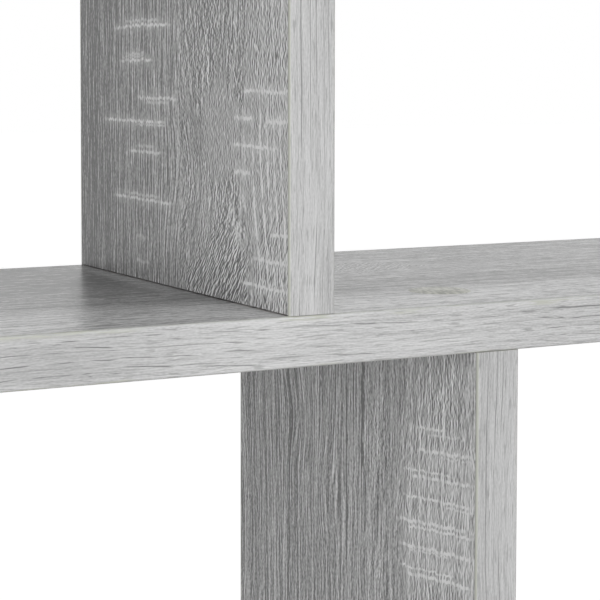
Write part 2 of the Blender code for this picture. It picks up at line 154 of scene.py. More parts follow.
class Graph:
    """Adds nodes to one node tree and wires them."""

    def __init__(self, tree: NodeTree) -> None:
        """Starts on a tree."""
        self.tree = tree

    def node(self, kind: str, **settings: object) -> Node:
        """Adds one node.

        Args:
            kind: The node's type name.
            **settings: Properties to set on it.

        Returns:
            The new node.
        """
        made = self.tree.nodes.new(kind)
        for name, value in settings.items():
            setattr(made, name, value)
        return made

    def feed(self, socket: NodeSocket, source: Source) -> None:
        """Links a socket into another, or sets its value.

        Args:
            socket: The input that is fed.
            source: An output, a number or a tuple.
        """
        if isinstance(source, Value):
            source = source.socket
        if isinstance(source, NodeSocket):
            self.tree.links.new(source, socket)
        else:
            socket.default_value = source

    def wire(self, node: Node, sources: dict[int | str, Source], result: int | str = 0) -> Value:
        """Feeds several inputs of a node.

        Args:
            node: The node.
            sources: What feeds each input, by its place or its name.
            result: Which output is given back.

        Returns:
            That output.
        """
        for key, source in sources.items():
            self.feed(node.inputs[key], source)
        return Value(self, node.outputs[result])

    def outputs(self, node: Node) -> dict[str, Value]:
        """A node's outputs by name."""
        return {socket.name: Value(self, socket) for socket in node.outputs}

    def math(self, operation: str, *sources: Source, clamp: bool = False) -> Value:
        """A Math node, fed in order, whose result is kept within 0 and 1 if it is to be clamped."""
        made = self.node("ShaderNodeMath", operation=operation, use_clamp=clamp)
        return self.wire(made, dict(enumerate(sources)))

    def vector(self, operation: str, *sources: Source) -> Value:
        """A Vector Math node on vectors."""
        return self.wire(self.node("ShaderNodeVectorMath", operation=operation), dict(enumerate(sources)))

    def join(self, x: Source, y: Source, z: Source = 0.0) -> Value:
        """A vector from its three numbers."""
        return self.wire(self.node("ShaderNodeCombineXYZ"), {0: x, 1: y, 2: z})

    def split(self, source: Source) -> tuple[Value, ...]:
        """A vector's three numbers."""
        made = self.node("ShaderNodeSeparateXYZ")
        self.feed(made.inputs["Vector"], source)
        return tuple(self.outputs(made).values())

    def attribute(self, name: str) -> Value:
        """A vector that the mesh keeps at its points."""
        return Value(self, self.node("ShaderNodeAttribute", attribute_name=name).outputs["Vector"])

    def noise(self, point: Source, stretch: Triple, detail: float = 1.0, roughness: float = 0.5) -> Value:
        """Smooth noise about 0.5.

        Args:
            point: Where it is read.
            stretch: How many lumps there are to a metre along each axis.
            detail: How many finer layers are added.
            roughness: How strong each finer layer is.

        Returns:
            The noise, from 0 to 1.
        """
        place = self.vector("MULTIPLY", point, stretch)
        return self.wire(self.node("ShaderNodeTexNoise"),
                         {"Vector": place, "Scale": 1.0, "Detail": detail, "Roughness": roughness}, "Fac")

    def cells(self, point: Source, stretch: Triple) -> dict[str, Value]:
        """Cells round random points, that many to a metre along each axis."""
        made = self.node("ShaderNodeTexVoronoi", feature="F1")
        self.wire(made, {"Vector": self.vector("MULTIPLY", point, stretch), "Scale": 1.0})
        return self.outputs(made)

    def chance(self, point: Source) -> tuple[Value, ...]:
        """Three random numbers from 0 to 1 that hang on a point."""
        made = self.node("ShaderNodeTexWhiteNoise", noise_dimensions="3D")
        return self.split(self.wire(made, {"Vector": point}, "Color"))

    def ease(self, value: Source, low: Source, high: Source, at_low: Source = 0.0,
             at_high: Source = 1.0) -> Value:
        """A soft step from one result below a low value to another above a high one."""
        made = self.node("ShaderNodeMapRange", interpolation_type="SMOOTHSTEP", clamp=True)
        return self.wire(made, {"Value": value, "From Min": low, "From Max": high, "To Min": at_low,
                                "To Max": at_high})

    def fuzzy(self, off: Value, half: Value, core: float = 0.25) -> Value:
        """A line with soft sides, by how far off its middle a place is, and by the share that is solid."""
        return self.ease(off, half * core, half, 1.0, 0.0)

    def sway(self, noise: Value, amount: Source) -> Value:
        """Noise about 0.5 as a swing about 0 of that amount."""
        return (noise - 0.5) * amount

    def rock(self, point: Source, stretch: Triple, amount: Source, detail: float = 1.0) -> Value:
        """Smooth noise, as a swing about 0 of that amount."""
        return self.sway(self.noise(point, stretch, detail), amount)

    def fibre(self, point: Source, stretch: Triple, amount: float, apart: float = 0.9 * MM) -> Value:
        """Fine lines without broad bands: noise less the same noise a little further across.

        Args:
            point: Where it is read.
            stretch: How many lumps there are to a metre along each axis.
            amount: How strong the lines are.
            apart: How far across the second noise is read, about half of a line's width and gap.

        Returns:
            A swing about 0.
        """
        beside = self.vector("ADD", point, (0.0, apart, 0.0))
        here, there = (self.noise(place, stretch, roughness=0.6) for place in (point, beside))
        return (here - there) * amount

    def net(self, point: Source, stretch: Triple, width: float) -> Value:
        """A mask of thin wavy lines that join into long cells, as wide as that share of the noise's range."""
        off = abs(self.noise(point, stretch, 0.0) - 0.5)
        return self.ease(off, 0.0, width, 1.0, 0.0)

    def mix(self, factor: Source, first: Source, second: Source) -> Value:
        """A number between two others."""
        return self.wire(self.node("ShaderNodeMix", data_type="FLOAT"), {0: factor, 2: first, 3: second})

    def tint(self, factor: Source, first: Source, second: Source) -> Value:
        """A colour between two others."""
        return self.wire(self.node("ShaderNodeMix", data_type="RGBA"), {0: factor, 6: first, 7: second}, 2)

    def ramp(self, value: Source, stops: Sequence[tuple[float, Colour]]) -> Value:
        """A colour ramp.

        Args:
            value: The number that is read.
            stops: Each stop's place and colour, in order.

        Returns:
            The colour.
        """
        made = self.node("ShaderNodeValToRGB")
        elements = made.color_ramp.elements
        while len(elements) < len(stops):
            elements.new(1.0)
        for element, (place, colour) in zip(elements, stops):
            element.position = place
            element.color = colour
        return self.wire(made, {"Fac": value}, "Color")

    def curve(self, value: Source, points: Sequence[tuple[float, float]]) -> Value:
        """A Float Curve node with straight stretches.

        Args:
            value: Where on the curve, from 0 to 1.
            points: The curve's points, in order, each within 0 and 1.

        Returns:
            The height there.
        """
        made = self.node("ShaderNodeFloatCurve")
        line = made.mapping.curves[0]
        line.points[0].location = points[0]
        line.points[-1].location = points[-1]
        for place in points[1:-1]:
            line.points.new(*place)
        for point in line.points:
            point.handle_type = "VECTOR"
        made.mapping.update()
        return self.wire(made, {"Value": value})

    def bump(self, height: Source, depth: float, strength: float) -> Value:
        """The normal over fine relief of that depth."""
        made = self.node("ShaderNodeBump")
        return self.wire(made, {"Strength": strength, "Distance": depth, "Height": height})

    def apply(self, effect: NodeTree, **values: Source) -> dict[str, Value]:
        """Places a shared effect.

        Args:
            effect: The effect's node group.
            **values: What feeds its inputs, named as they are, with _ for a space.

        Returns:
            Its outputs by name.
        """
        made = self.node("ShaderNodeGroup", node_tree=effect)
        self.wire(made, {name.replace("_", " "): source for name, source in values.items()})
        return self.outputs(made)


def inputs_of(part: object) -> dict[str, float]:
    """A part's fields, named as an effect's inputs are."""
    return {name.title(): value for name, value in vars(part).items()}


class Effect(Graph):
    """A shader node group under construction, with named inputs and outputs."""

    def __init__(self, name: str, inputs: dict[str, float | Triple], **outputs: str) -> None:
        """Makes the group and its sockets.

        Args:
            name: The group's name.
            inputs: Each input's name and default; a tuple makes it a vector.
            **outputs: Each output's name and kind: Float, Vector or Color.
        """
        super().__init__(bpy.data.node_groups.new(name, "ShaderNodeTree"))
        for label, default in inputs.items():
            kind = "NodeSocketVector" if isinstance(default, tuple) else "NodeSocketFloat"
            socket = self.tree.interface.new_socket(name=label, in_out="INPUT", socket_type=kind)
            socket.default_value = default
        for label, kind in outputs.items():
            self.tree.interface.new_socket(name=label, in_out="OUTPUT", socket_type=f"NodeSocket{kind}")
        self.given = self.outputs(self.node("NodeGroupInput"))
        self.results = self.node("NodeGroupOutput").inputs

    def give(self, **results: Source) -> NodeTree:
        """Wires the results to the outputs.

        Args:
            **results: What each output gets.

        Returns:
            The finished group.
        """
        for name, source in results.items():
            self.feed(self.results[name], source)
        return self.tree


class Growth(Graph):
    """A Geometry Nodes tree under construction, which sets copies of one part at the points of a mesh."""

    def __init__(self, name: str, inputs: dict[str, str]) -> None:
        """Makes the tree and its sockets.

        Args:
            name: The tree's name.
            inputs: Each input's name and kind: Float, Int, Object or Material.
        """
        super().__init__(bpy.data.node_groups.new(name, "GeometryNodeTree"))
        for label, kind in {"Geometry": "Geometry", **inputs}.items():
            self.tree.interface.new_socket(name=label, in_out="INPUT", socket_type=f"NodeSocket{kind}")
        self.tree.interface.new_socket(name="Geometry", in_out="OUTPUT", socket_type="NodeSocketGeometry")
        self.given = self.outputs(self.node("NodeGroupInput"))
        self.result = self.node("NodeGroupOutput").inputs["Geometry"]

    def step(self, kind: str, result: int | str = 0, settings: dict[str, object] | None = None,
             **sources: Source) -> Value:
        """Adds a node, feeds its inputs by name, with _ for a space, and gives back one output."""
        made = self.node(kind, **(settings or {}))
        return self.wire(made, {name.replace("_", " "): source for name, source in sources.items()}, result)

    def kept(self, name: str, kind: str) -> Value:
        """What the points keep under a name, of that data type."""
        return self.step("GeometryNodeInputNamedAttribute", settings={"data_type": kind}, Name=name)

    def stamp(self, part: Source) -> NodeTree:
        """Sets the part at each point, turned as the point says, and finishes the tree.

        Args:
            part: The part's geometry.

        Returns:
            The tree.
        """
        turn = self.step("FunctionNodeEulerToRotation", Euler=self.kept(TURN_ATTRIBUTE, "FLOAT_VECTOR"))
        copies = self.step("GeometryNodeInstanceOnPoints", Points=self.given["Geometry"], Instance=part,
                           Rotation=turn)
        real = self.step("GeometryNodeRealizeInstances", Geometry=copies)
        dressed = self.step("GeometryNodeSetMaterial", Geometry=real, Material=self.given["Material"])
        self.feed(self.result, dressed)
        return self.tree


@cache
def sticker_tree() -> NodeTree:
    """Round stickers with a slanting rim, each of which keeps its own flat coordinates for its print.

    Returns:
        The Geometry Nodes tree.
    """
    made = Growth("cover_stickers", {"Radius": "Float", "Thickness": "Float", "Rim": "Float", "Sides": "Int",
                                     "Material": "Material"})
    given = made.given
    disc = made.step(
        "GeometryNodeMeshCone", "Mesh", {"fill_type": "NGON"}, Vertices=given["Sides"], Side_Segments=2,
        Radius_Bottom=given["Radius"], Radius_Top=given["Radius"] - given["Rim"], Depth=given["Thickness"],
    )
    place = made.step("GeometryNodeInputPosition")
    return made.stamp(made.step(
        "GeometryNodeStoreNamedAttribute", settings={"data_type": "FLOAT_VECTOR", "domain": "POINT"},
        Geometry=disc, Name=DISC_ATTRIBUTE, Value=place,
    ))


@cache
def screw_tree() -> NodeTree:
    """Screws: a turned body on a profile of rings, its drive recess, and a thread that winds round its core.

    Returns:
        The Geometry Nodes tree.
    """
    made = Growth("turned_screws", {
        "Profile": "Object", "Recess": "Object", "Sides": "Int", "Core Radius": "Float", "Crest": "Float",
        "Pitch": "Float", "Thread Start": "Float", "Thread Length": "Float", "Material": "Material",
    })
    given = made.given
    spine = made.step("GeometryNodeMeshToCurve",
                      Mesh=made.step("GeometryNodeObjectInfo", "Geometry", Object=given["Profile"]))
    ring = made.step("GeometryNodeCurvePrimitiveCircle", "Curve", Resolution=given["Sides"], Radius=1.0)
    body = made.step("GeometryNodeCurveToMesh", Curve=spine, Profile_Curve=ring, Fill_Caps=True,
                     Scale=made.kept(GIRTH_ATTRIBUTE, "FLOAT"))
    recess = made.step("GeometryNodeObjectInfo", "Geometry", Object=given["Recess"])
    cut = made.node("GeometryNodeMeshBoolean", operation="DIFFERENCE", solver="EXACT")
    head = made.wire(cut, {"Mesh 1": body, "Mesh 2": recess}, "Mesh")
    helix = made.step("GeometryNodeCurveSpiral", Resolution=given["Sides"],
                      Rotations=given["Thread Length"] / given["Pitch"], Start_Radius=given["Core Radius"],
                      End_Radius=given["Core Radius"], Height=given["Thread Length"])
    upright = made.step("GeometryNodeSetCurveNormal", settings={"mode": "Z_UP"}, Curve=helix)
    flank = made.step("GeometryNodeCurvePrimitiveCircle", "Curve", Resolution=4, Radius=given["Crest"])
    thread = made.step("GeometryNodeCurveToMesh", Curve=upright, Profile_Curve=flank, Fill_Caps=True)
    lowered = made.step("GeometryNodeTransform", Geometry=thread,
                        Translation=made.join(0.0, 0.0, given["Thread Start"]))
    together = made.node("GeometryNodeJoinGeometry")
    for geometry in (head, lowered):
        made.feed(together.inputs["Geometry"], geometry)
    return made.stamp(together.outputs["Geometry"])


@cache
def grain_flow() -> NodeTree:
    """The point, moved across the grain so that fibres wander over their length and ripple.

    Returns:
        The effect. Point is (along, across, slice), as in all effects here.
    """
    made = Effect(
        "grain_flow",
        {"Point": VECTOR, "Wander": 3 * MM, "Wander Length": 0.10, "Ripple": 0.5 * MM,
         "Ripple Length": 0.010},
        Point="Vector",
    )
    given = made.given
    along, across, slice_ = made.split(given["Point"])
    moved = across
    for amount, length, narrower in (("Wander", "Wander Length", 2.6), ("Ripple", "Ripple Length", 1.6)):
        place = made.join(along / given[length], across / given[length] * narrower, slice_)
        moved = moved + made.rock(place, EVEN, given[amount])
    return made.give(Point=made.join(along, moved, slice_))


@cache
def grain_bulge() -> NodeTree:
    """The point, moved so that the fibres bulge sideways round one place.

    Returns:
        The effect.
    """
    made = Effect(
        "grain_bulge",
        {"Point": VECTOR, "Along": 0.0, "Across": 0.0, "Length": 0.02, "Width": 0.02, "Shift": 0.005},
        Point="Vector",
    )
    given = made.given
    along, across, slice_ = made.split(given["Point"])
    lengthwise = (along - given["Along"]) / given["Length"]
    sideways = (across - given["Across"]) / given["Width"]
    falloff = made.math("EXPONENT", (lengthwise ** 2.0 + sideways ** 2.0) * -1.0)
    return made.give(Point=made.join(along, across + falloff * given["Shift"], slice_))


@cache
def grain_peak() -> NodeTree:
    """The point, moved so that the fibres part below one place, as under the tip of a flame in flat-sawn oak.

    Returns:
        The effect.
    """
    made = Effect(
        "grain_peak",
        {"Point": VECTOR, "Along": 0.0, "Across": 0.0, "Length": 0.05, "Core": 0.012, "Reach": 0.05,
         "Spread": 0.02},
        Point="Vector",
    )
    given = made.given
    along, across, slice_ = made.split(given["Point"])
    opening = made.ease(given["Along"] - along, given["Length"] * -0.25, given["Length"])
    sideways = across - given["Across"]
    parting = made.math("TANH", sideways / given["Core"])
    near = made.math("EXPONENT", (sideways / given["Reach"]) ** 2.0 * -1.0)
    shift = opening * parting * near * given["Spread"]
    return made.give(Point=made.join(along, across - shift, slice_))


@cache
def leaning_strokes() -> NodeTree:
    """The tone, with an uneven patch in it where short strokes lean and stand out.

    Returns:
        The effect.
    """
    made = Effect(
        "leaning_strokes",
        {"Point": VECTOR, "Tone": 0.5, "Along": 0.0, "Across": 0.0, "Length": 0.02, "Width": 0.01,
         "Slope": 0.5, "Contrast": 1.0, "Shade": 0.0, "Fineness": 1.0},
        Tone="Float",
    )
    given = made.given
    along, across, slice_ = made.split(given["Point"])
    above = along - given["Along"]
    lengthwise = above / given["Length"]
    sideways = (across - given["Across"]) / given["Width"]
    ragged = lengthwise ** 2.0 + sideways ** 2.0 + made.rock(given["Point"], (110.0, 330.0, 1.0), 1.6)
    inside = made.ease(ragged, 0.45, 1.20, 1.0, 0.0)
    sheared = made.join(along, across - above * given["Slope"], slice_)
    scale = made.node("ShaderNodeVectorMath", operation="SCALE")
    fine = made.wire(scale, {"Vector": sheared, "Scale": given["Fineness"]})
    plain = made.fibre(fine, (300.0, 1300.0, 1.0), 2.8)
    crests = made.net(fine, (110.0, 560.0, 1.0), 0.08).times_plus(0.36, -0.08)
    strokes = (plain + crests) * given["Contrast"]
    return made.give(Tone=made.mix(inside, given["Tone"], strokes + 0.5 - given["Shade"]))


@cache
def grain_lines() -> NodeTree:
    """A mask of thin broken lines along the grain, in rows that each have their own place, runs and strength.

    Returns:
        The effect.
    """
    made = Effect(
        "grain_lines",
        {"Point": VECTOR, "Spacing": 2.5 * MM, "Thickness": 0.3 * MM, "Run": 0.03, "Cover": 0.5},
        Mask="Float",
    )
    given = made.given
    along, across, slice_ = made.split(given["Point"])
    rows = across / given["Spacing"]
    row = made.math("FLOOR", rows)
    place, phase, strength = made.chance(made.join(row, made.math("ROUND", slice_), 0.37))
    off = abs(rows - row - (0.5 + made.sway(place, 0.6)))
    run = along / given["Run"] + phase * 57.0
    swell = made.noise(made.join(run, row * 9.1, slice_), EVEN)
    gate = 1.0 - given["Cover"]
    visible = made.ease(swell, gate.times_plus(0.5, 0.22), gate.times_plus(0.5, 0.36))
    half = given["Thickness"] * swell.times_plus(1.2, 0.4)
    line = made.fuzzy(off * given["Spacing"], half)
    return made.give(Mask=line * visible * strength.times_plus(0.65, 0.35))


@cache
def oak_print() -> NodeTree:
    """The print's own tone about 0.5: fibres, short woven strokes, bands along the grain, clouds and pores.

    Returns:
        The effect.
    """
    made = Effect(
        "oak_print",
        {"Point": VECTOR, "Weave": 0.5, "Fibre Contrast": 1.0, "Pores": 0.35},
        Tone="Float", Relief="Float",
    )
    given = made.given
    point, weave = given["Point"], given["Weave"]
    long_fibres = made.fibre(point, (38.0, 1300.0, 1.0), 1.9)
    short_fibres = made.fibre(point, (210.0, 1600.0, 1.0), 1.6)
    dashes = made.fibre(point, (600.0, 1500.0, 1.0), 3.3, 0.8 * MM)
    patches = made.ease(made.noise(point, (45.0, 120.0, 1.0)), 0.35, 0.65, 0.40, 1.30)
    grit = made.rock(point, (1000.0, 2000.0, 1.0), 1.1, 0.0)
    long_lines = made.net(point, (11.0, 330.0, 1.0), 0.035)
    short_lines = made.net(point, (38.0, 330.0, 1.0), 0.045)
    bands = made.rock(point, (5.0, 260.0, 1.0), 0.35)
    clouds = made.rock(point, (8.0, 45.0, 1.0), 0.4)
    pores = made.ease(made.noise(point, (30.0, 1500.0, 1.0), 0.0), 0.60, 0.72)
    straight = long_fibres * weave.times_plus(-0.75, 1.0)
    woven = dashes * weave * patches
    crests = made.mix(weave, long_lines.times_plus(0.30, -0.03), short_lines.times_plus(0.55, -0.07))
    fibres = (straight + short_fibres + woven + crests + grit) * given["Fibre Contrast"]
    tone = fibres + (bands + clouds) + 0.5 - pores * given["Pores"]
    return made.give(Tone=tone, Relief=fibres + 0.5 - pores * 0.8)


@cache
def grain_streak() -> NodeTree:
    """The tone, with one light or dark line along the grain laid over it.

    Some broad ones are bands of painted light or shade.

    Returns:
        The effect.
    """
    made = Effect(
        "grain_streak",
        {"Point": VECTOR, "Tone": 0.5, "Across": 0.0, "Low": 0.0, "High": 0.1, "Soft": 6 * MM,
         "Thickness": 0.5 * MM, "Amount": 0.2},
        Tone="Float",
    )
    given = made.given
    along, across, _ = made.split(given["Point"])
    wriggle = made.rock(given["Point"], (210.0, 260.0, 1.0), 2.0 * MM)
    line = made.fuzzy(abs(across + wriggle - given["Across"]), given["Thickness"])
    started = made.ease(along, given["Low"], given["Low"] + given["Soft"])
    going_on = made.ease(along, given["High"] - given["Soft"], given["High"], 1.0, 0.0)
    broken = made.ease(made.noise(given["Point"], (230.0, 500.0, 1.0)), 0.34, 0.62, 0.25, 1.20)
    return made.give(Tone=given["Tone"] + line * started * going_on * broken * given["Amount"])


@cache
def print_row() -> NodeTree:
    """A mask of a row of lines, whose height and strength at this place are given, over the rows before.

    Thin ones are print lines; broad ones are veils of painted shade.

    Returns:
        The effect.
    """
    made = Effect(
        "print_row",
        {"Across": 0.0, "Others": 0.0, "Height": 0.0, "Strength": 1.0, "Thickness": 0.2 * MM},
        Mask="Float",
    )
    given = made.given
    half = given["Thickness"] * given["Strength"].times_plus(0.4, 0.6)
    line = made.fuzzy(abs(given["Across"] - given["Height"]), half, 0.2)
    return made.give(Mask=made.math("MAXIMUM", line * given["Strength"], given["Others"]))


@cache
def saw_comb() -> NodeTree:
    """The point with its fibres slipped lengthwise, so that a straight cut across them frays like a comb.

    Returns:
        The effect.
    """
    made = Effect("saw_comb", {"Point": VECTOR, "Fray": 1.6 * MM, "Arch": 1.2 * MM}, Point="Vector")
    given = made.given
    along, across, slice_ = made.split(given["Point"])
    fray = made.rock(given["Point"], (45.0, 1050.0, 1.0), given["Fray"], 0.0)
    arch = made.rock(given["Point"], (9.0, 24.0, 1.0), given["Arch"], 0.0)
    return made.give(Point=made.join(along + fray + arch, across, slice_))


@cache
def saw_mark() -> NodeTree:
    """A mask of one saw mark across the grain, laid over the marks before it.

    Returns:
        The effect.
    """
    made = Effect(
        "saw_mark",
        {"Point": VECTOR, "Others": 0.0, "Along": 0.0, "Across": 0.0, "Half Width": 0.02,
         "Thickness": 1.1 * MM, "Slope": 0.0, "Strength": 1.0, "Halo": 0.25},
        Mask="Float",
    )
    given = made.given
    along, across, _ = made.split(given["Point"])
    sideways = across - given["Across"]
    off = abs(along - sideways.times_plus(given["Slope"], given["Along"]))
    line = made.fuzzy(off, given["Thickness"])
    halo = made.ease(off, 0.0, given["Thickness"] * 4.5, given["Halo"], 0.0)
    window = made.fuzzy(abs(sideways), given["Half Width"], 0.7)
    mark = made.math("MAXIMUM", line, halo) * window * given["Strength"]
    return made.give(Mask=made.math("MAXIMUM", mark, given["Others"]))


@cache
def saw_cluster() -> NodeTree:
    """A mask of a run of even saw marks, each with its own small slip, width and strength.

    Returns:
        The effect.
    """
    made = Effect(
        "saw_cluster",
        {"Point": VECTOR, "Others": 0.0, "First": 0.0, "Last": 0.1, "Spacing": 8 * MM, "Across": -0.08,
         "Half Width": 0.03, "Thickness": 1.0 * MM, "Slope": 0.0, "Strength": 1.0, "Seed": 0.0,
         "Halo": 0.25},
        Mask="Float",
    )
    given = made.given
    along, across, _ = made.split(given["Point"])
    sideways = across - given["Across"]
    level = along - sideways * given["Slope"]
    steps = (level - given["First"]) / given["Spacing"]
    step = made.math("ROUND", steps)
    slip, width, strength = made.chance(made.join(step, given["Seed"], 0.71))
    distance = abs(steps - step - made.sway(slip, 0.35)) * given["Spacing"]
    line = made.fuzzy(distance, given["Thickness"])
    halo = made.ease(distance, 0.0, given["Thickness"] * 4.0, given["Halo"], 0.0)
    half = given["Half Width"] * width.times_plus(0.7, 0.4)
    shifted = sideways - made.sway(strength, 0.9) * given["Half Width"]
    window = made.fuzzy(abs(shifted), half, 0.7)
    margin = given["Spacing"] * 0.5
    started = made.math("GREATER_THAN", level, given["First"] - margin)
    going_on = made.math("LESS_THAN", level, given["Last"] + margin)
    share = slip.times_plus(0.65, 0.35)
    mark = made.math("MAXIMUM", line, halo) * window * started * going_on * share * given["Strength"]
    return made.give(Mask=made.math("MAXIMUM", mark, given["Others"]))


@cache
def handling() -> NodeTree:
    """Traces of use: broad faint smudges, which dull or polish a surface, and fine dust in its tone.

    Returns:
        The effect.
    """
    made = Effect("handling", {"Point": VECTOR, "Amount": 1.0}, Polish="Float", Dust="Float")
    point, amount = made.given["Point"], made.given["Amount"]
    smudge = made.noise(point, (14.0, 14.0, 14.0), 3.0, 0.6)
    wipes = made.noise(point, (3.0, 60.0, 3.0))
    specks = made.ease(made.noise(point, (900.0, 900.0, 900.0), 0.0), 0.70, 0.80)
    return made.give(Polish=(made.sway(smudge, 1.0) + made.sway(wipes, 0.5)) * amount,
                     Dust=specks * made.ease(smudge, 0.4, 0.7) * amount)


@cache
def chipboard() -> NodeTree:
    """The raw chipboard in cut holes: flat chips of several browns pressed together.

    Returns:
        The effect.
    """
    made = Effect("chipboard", {"Point": VECTOR}, Color="Color", Relief="Float")
    chips = made.cells(made.given["Point"], (420.0, 420.0, 1100.0))
    shade, _, _ = made.split(chips["Color"])
    browns = (
        (0.0, (0.16, 0.095, 0.05, 1.0)), (0.45, (0.34, 0.23, 0.13, 1.0)), (1.0, (0.52, 0.39, 0.24, 1.0)),
    )
    return made.give(Color=made.ramp(shade, browns), Relief=chips["Distance"])


@dataclass(frozen=True)
class SawMark:
    """One light mark that the saw left across the grain.

    Attributes:
        height: Its place along the grain.
        start: Its end nearer the wall, across the grain.
        end: Its front end.
        strength: How light it is.
        thickness: Half its fuzzy width.
        twin: How far above it a fainter, shorter twin runs, or 0 for none.
        slope: How far it climbs along the grain for each metre across it.
    """

    height: float
    start: float
    end: float
    strength: float
    thickness: float
    twin: float
    slope: float

    @staticmethod
    def rows(*rows: tuple[float, ...], slope: float = 0.0) -> tuple["SawMark", ...]:
        """Marks of one slope.

        Args:
            *rows: Each one's height, start, end and strength, then in millimetres its thickness and twin.
            slope: How far they climb along the grain for each metre across it.

        Returns:
            The marks, a millimetre thick where that isn't said.
        """
        usual = (1.0, 0.0)
        marks = []
        for height, start, end, strength, *own in rows:
            thickness, twin = (*own, *usual[len(own):])
            marks.append(SawMark(height, start, end, strength, thickness * MM, twin * MM, slope))
        return tuple(marks)

    def lines(self) -> list["SawMark"]:
        """The mark and its twin, each a plain line."""
        inset = (self.end - self.start) / 5
        twin = replace(self, height=self.height + self.twin, start=self.start + inset, end=self.end - inset,
                       strength=self.strength * 0.7)
        return [self, twin] if self.twin else [self]


@dataclass(frozen=True)
class SawCluster:
    """A run of even saw marks.

    Attributes:
        first: The first mark's place along the grain.
        last: The last mark's.
        across: The middle of the marks across the grain.
        half_width: How far they reach to each side of it.
        spacing: From mark to mark.
        slope: How far they climb along the grain for each metre across it.
        strength: How light they are.
        thickness: Half a mark's fuzzy width.
        seed: Which random slips it takes.
    """

    first: float
    last: float
    across: float
    half_width: float
    spacing: float
    slope: float = 0.0
    strength: float = 0.8
    thickness: float = 0.8 * MM
    seed: float = 1.0


@dataclass(frozen=True)
class Bulge:
    """A place round which the fibres bulge sideways: where, how far, and over what length and width."""

    along: float
    across: float
    shift: float
    length: float
    width: float


@dataclass(frozen=True)
class Peak:
    """The tip of a flame, below which the fibres part.

    Attributes:
        along: The tip's place along the grain.
        across: The tip's place across it.
        spread: How far the fibres part.
        length: Over what length they do.
        core: The flame's half width at its tip.
        reach: How far to each side it is felt.
    """

    along: float
    across: float
    spread: float
    length: float
    core: float
    reach: float


@dataclass(frozen=True)
class Strokes:
    """A ragged patch in which short strokes lean and stand out.

    Attributes:
        along: Its middle along the grain.
        across: Its middle across it.
        length: Its half length.
        width: Its half width.
        contrast: How much the strokes stand out.
        shade: How much darker the patch is.
        fineness: How many times finer they are than usual.
        slope: How far they lean, per metre of height.
    """

    along: float
    across: float
    length: float
    width: float
    contrast: float
    shade: float = 0.0
    fineness: float = 1.0
    slope: float = 0.0


@dataclass(frozen=True)
class Veins:
    """A patch of light or dark lines along the grain.

    Attributes:
        across: The patch's middle across the grain.
        half_width: How far it reaches to each side.
        low: Where it starts along the grain.
        high: Where it ends.
        spacing: From line to line.
        thickness: Half a line's fuzzy width.
        run: How long one line stays visible.
        cover: The share of the lines that shows.
        tone: What a line adds to the print's tone.
    """

    across: float
    half_width: float
    low: float
    high: float
    spacing: float
    thickness: float
    run: float
    cover: float
    tone: float


@dataclass(frozen=True)
class Streak:
    """One light or dark line along the grain; some broad ones are bands of painted light or shade.

    Attributes:
        across: Its place across the grain.
        low: Its lower end.
        high: Its upper end.
        amount: What it adds to the print's tone.
        thickness: Half its fuzzy width.
    """

    across: float
    low: float
    high: float
    amount: float
    thickness: float

    @staticmethod
    def rows(*rows: tuple[float, ...]) -> tuple["Streak", ...]:
        """Streaks from their across, low, high and amount, and the thickness in mm where it isn't 0.7."""
        return tuple(Streak(*row[:4], (row[4] if len(row) > 4 else 0.7) * MM) for row in rows)


@dataclass(frozen=True)
class Figure:
    """What the print shows on a board's two faces, besides its even grain.

    Attributes:
        weave_from: Where across the grain straight fibres start to turn into woven strokes.
        weave_to: Where they have turned.
        wander: How far the fibres wander.
        weave: How far they turn.
        tone: What is added to the tone at the back edge and at the front edge: where the front gets more,
        painted shade towards the back and painted light towards the front.
        contrast: How strong the fibres are at the two.
        mottle: How strong its cells are, which show to the right only.
        bulges: Where they bulge.
        peaks: Where they part.
        strokes: Where short strokes stand out.
        marks: Single saw marks.
        clusters: Runs of saw marks.
        veins: Patches of lines.
        streaks: Single lines; some broad ones are painted light or shade.
        one_face_only: Whether the saw marks are on the face that the view shows and not on the other.
    """

    weave_from: float
    weave_to: float
    wander: float
    weave: float = 1.0
    tone: tuple[float, float] = (0.0, 0.0)
    contrast: tuple[float, float] = (1.0, 1.0)
    mottle: float = 0.0
    bulges: tuple[Bulge, ...] = ()
    peaks: tuple[Peak, ...] = ()
    strokes: tuple[Strokes, ...] = ()
    marks: tuple[SawMark, ...] = ()
    clusters: tuple[SawCluster, ...] = ()
    veins: tuple[Veins, ...] = ()
    streaks: tuple[Streak, ...] = ()
    one_face_only: bool = False


def new_material(name: str) -> tuple[Material, Graph, Node]:
    """A material with a Principled shader.

    Args:
        name: The material's name.

    Returns:
        The material, the graph of its tree, and its shader.
    """
    material = bpy.data.materials.new(name)
    material.use_nodes = True
    return material, Graph(material.node_tree), material.node_tree.nodes["Principled BSDF"]


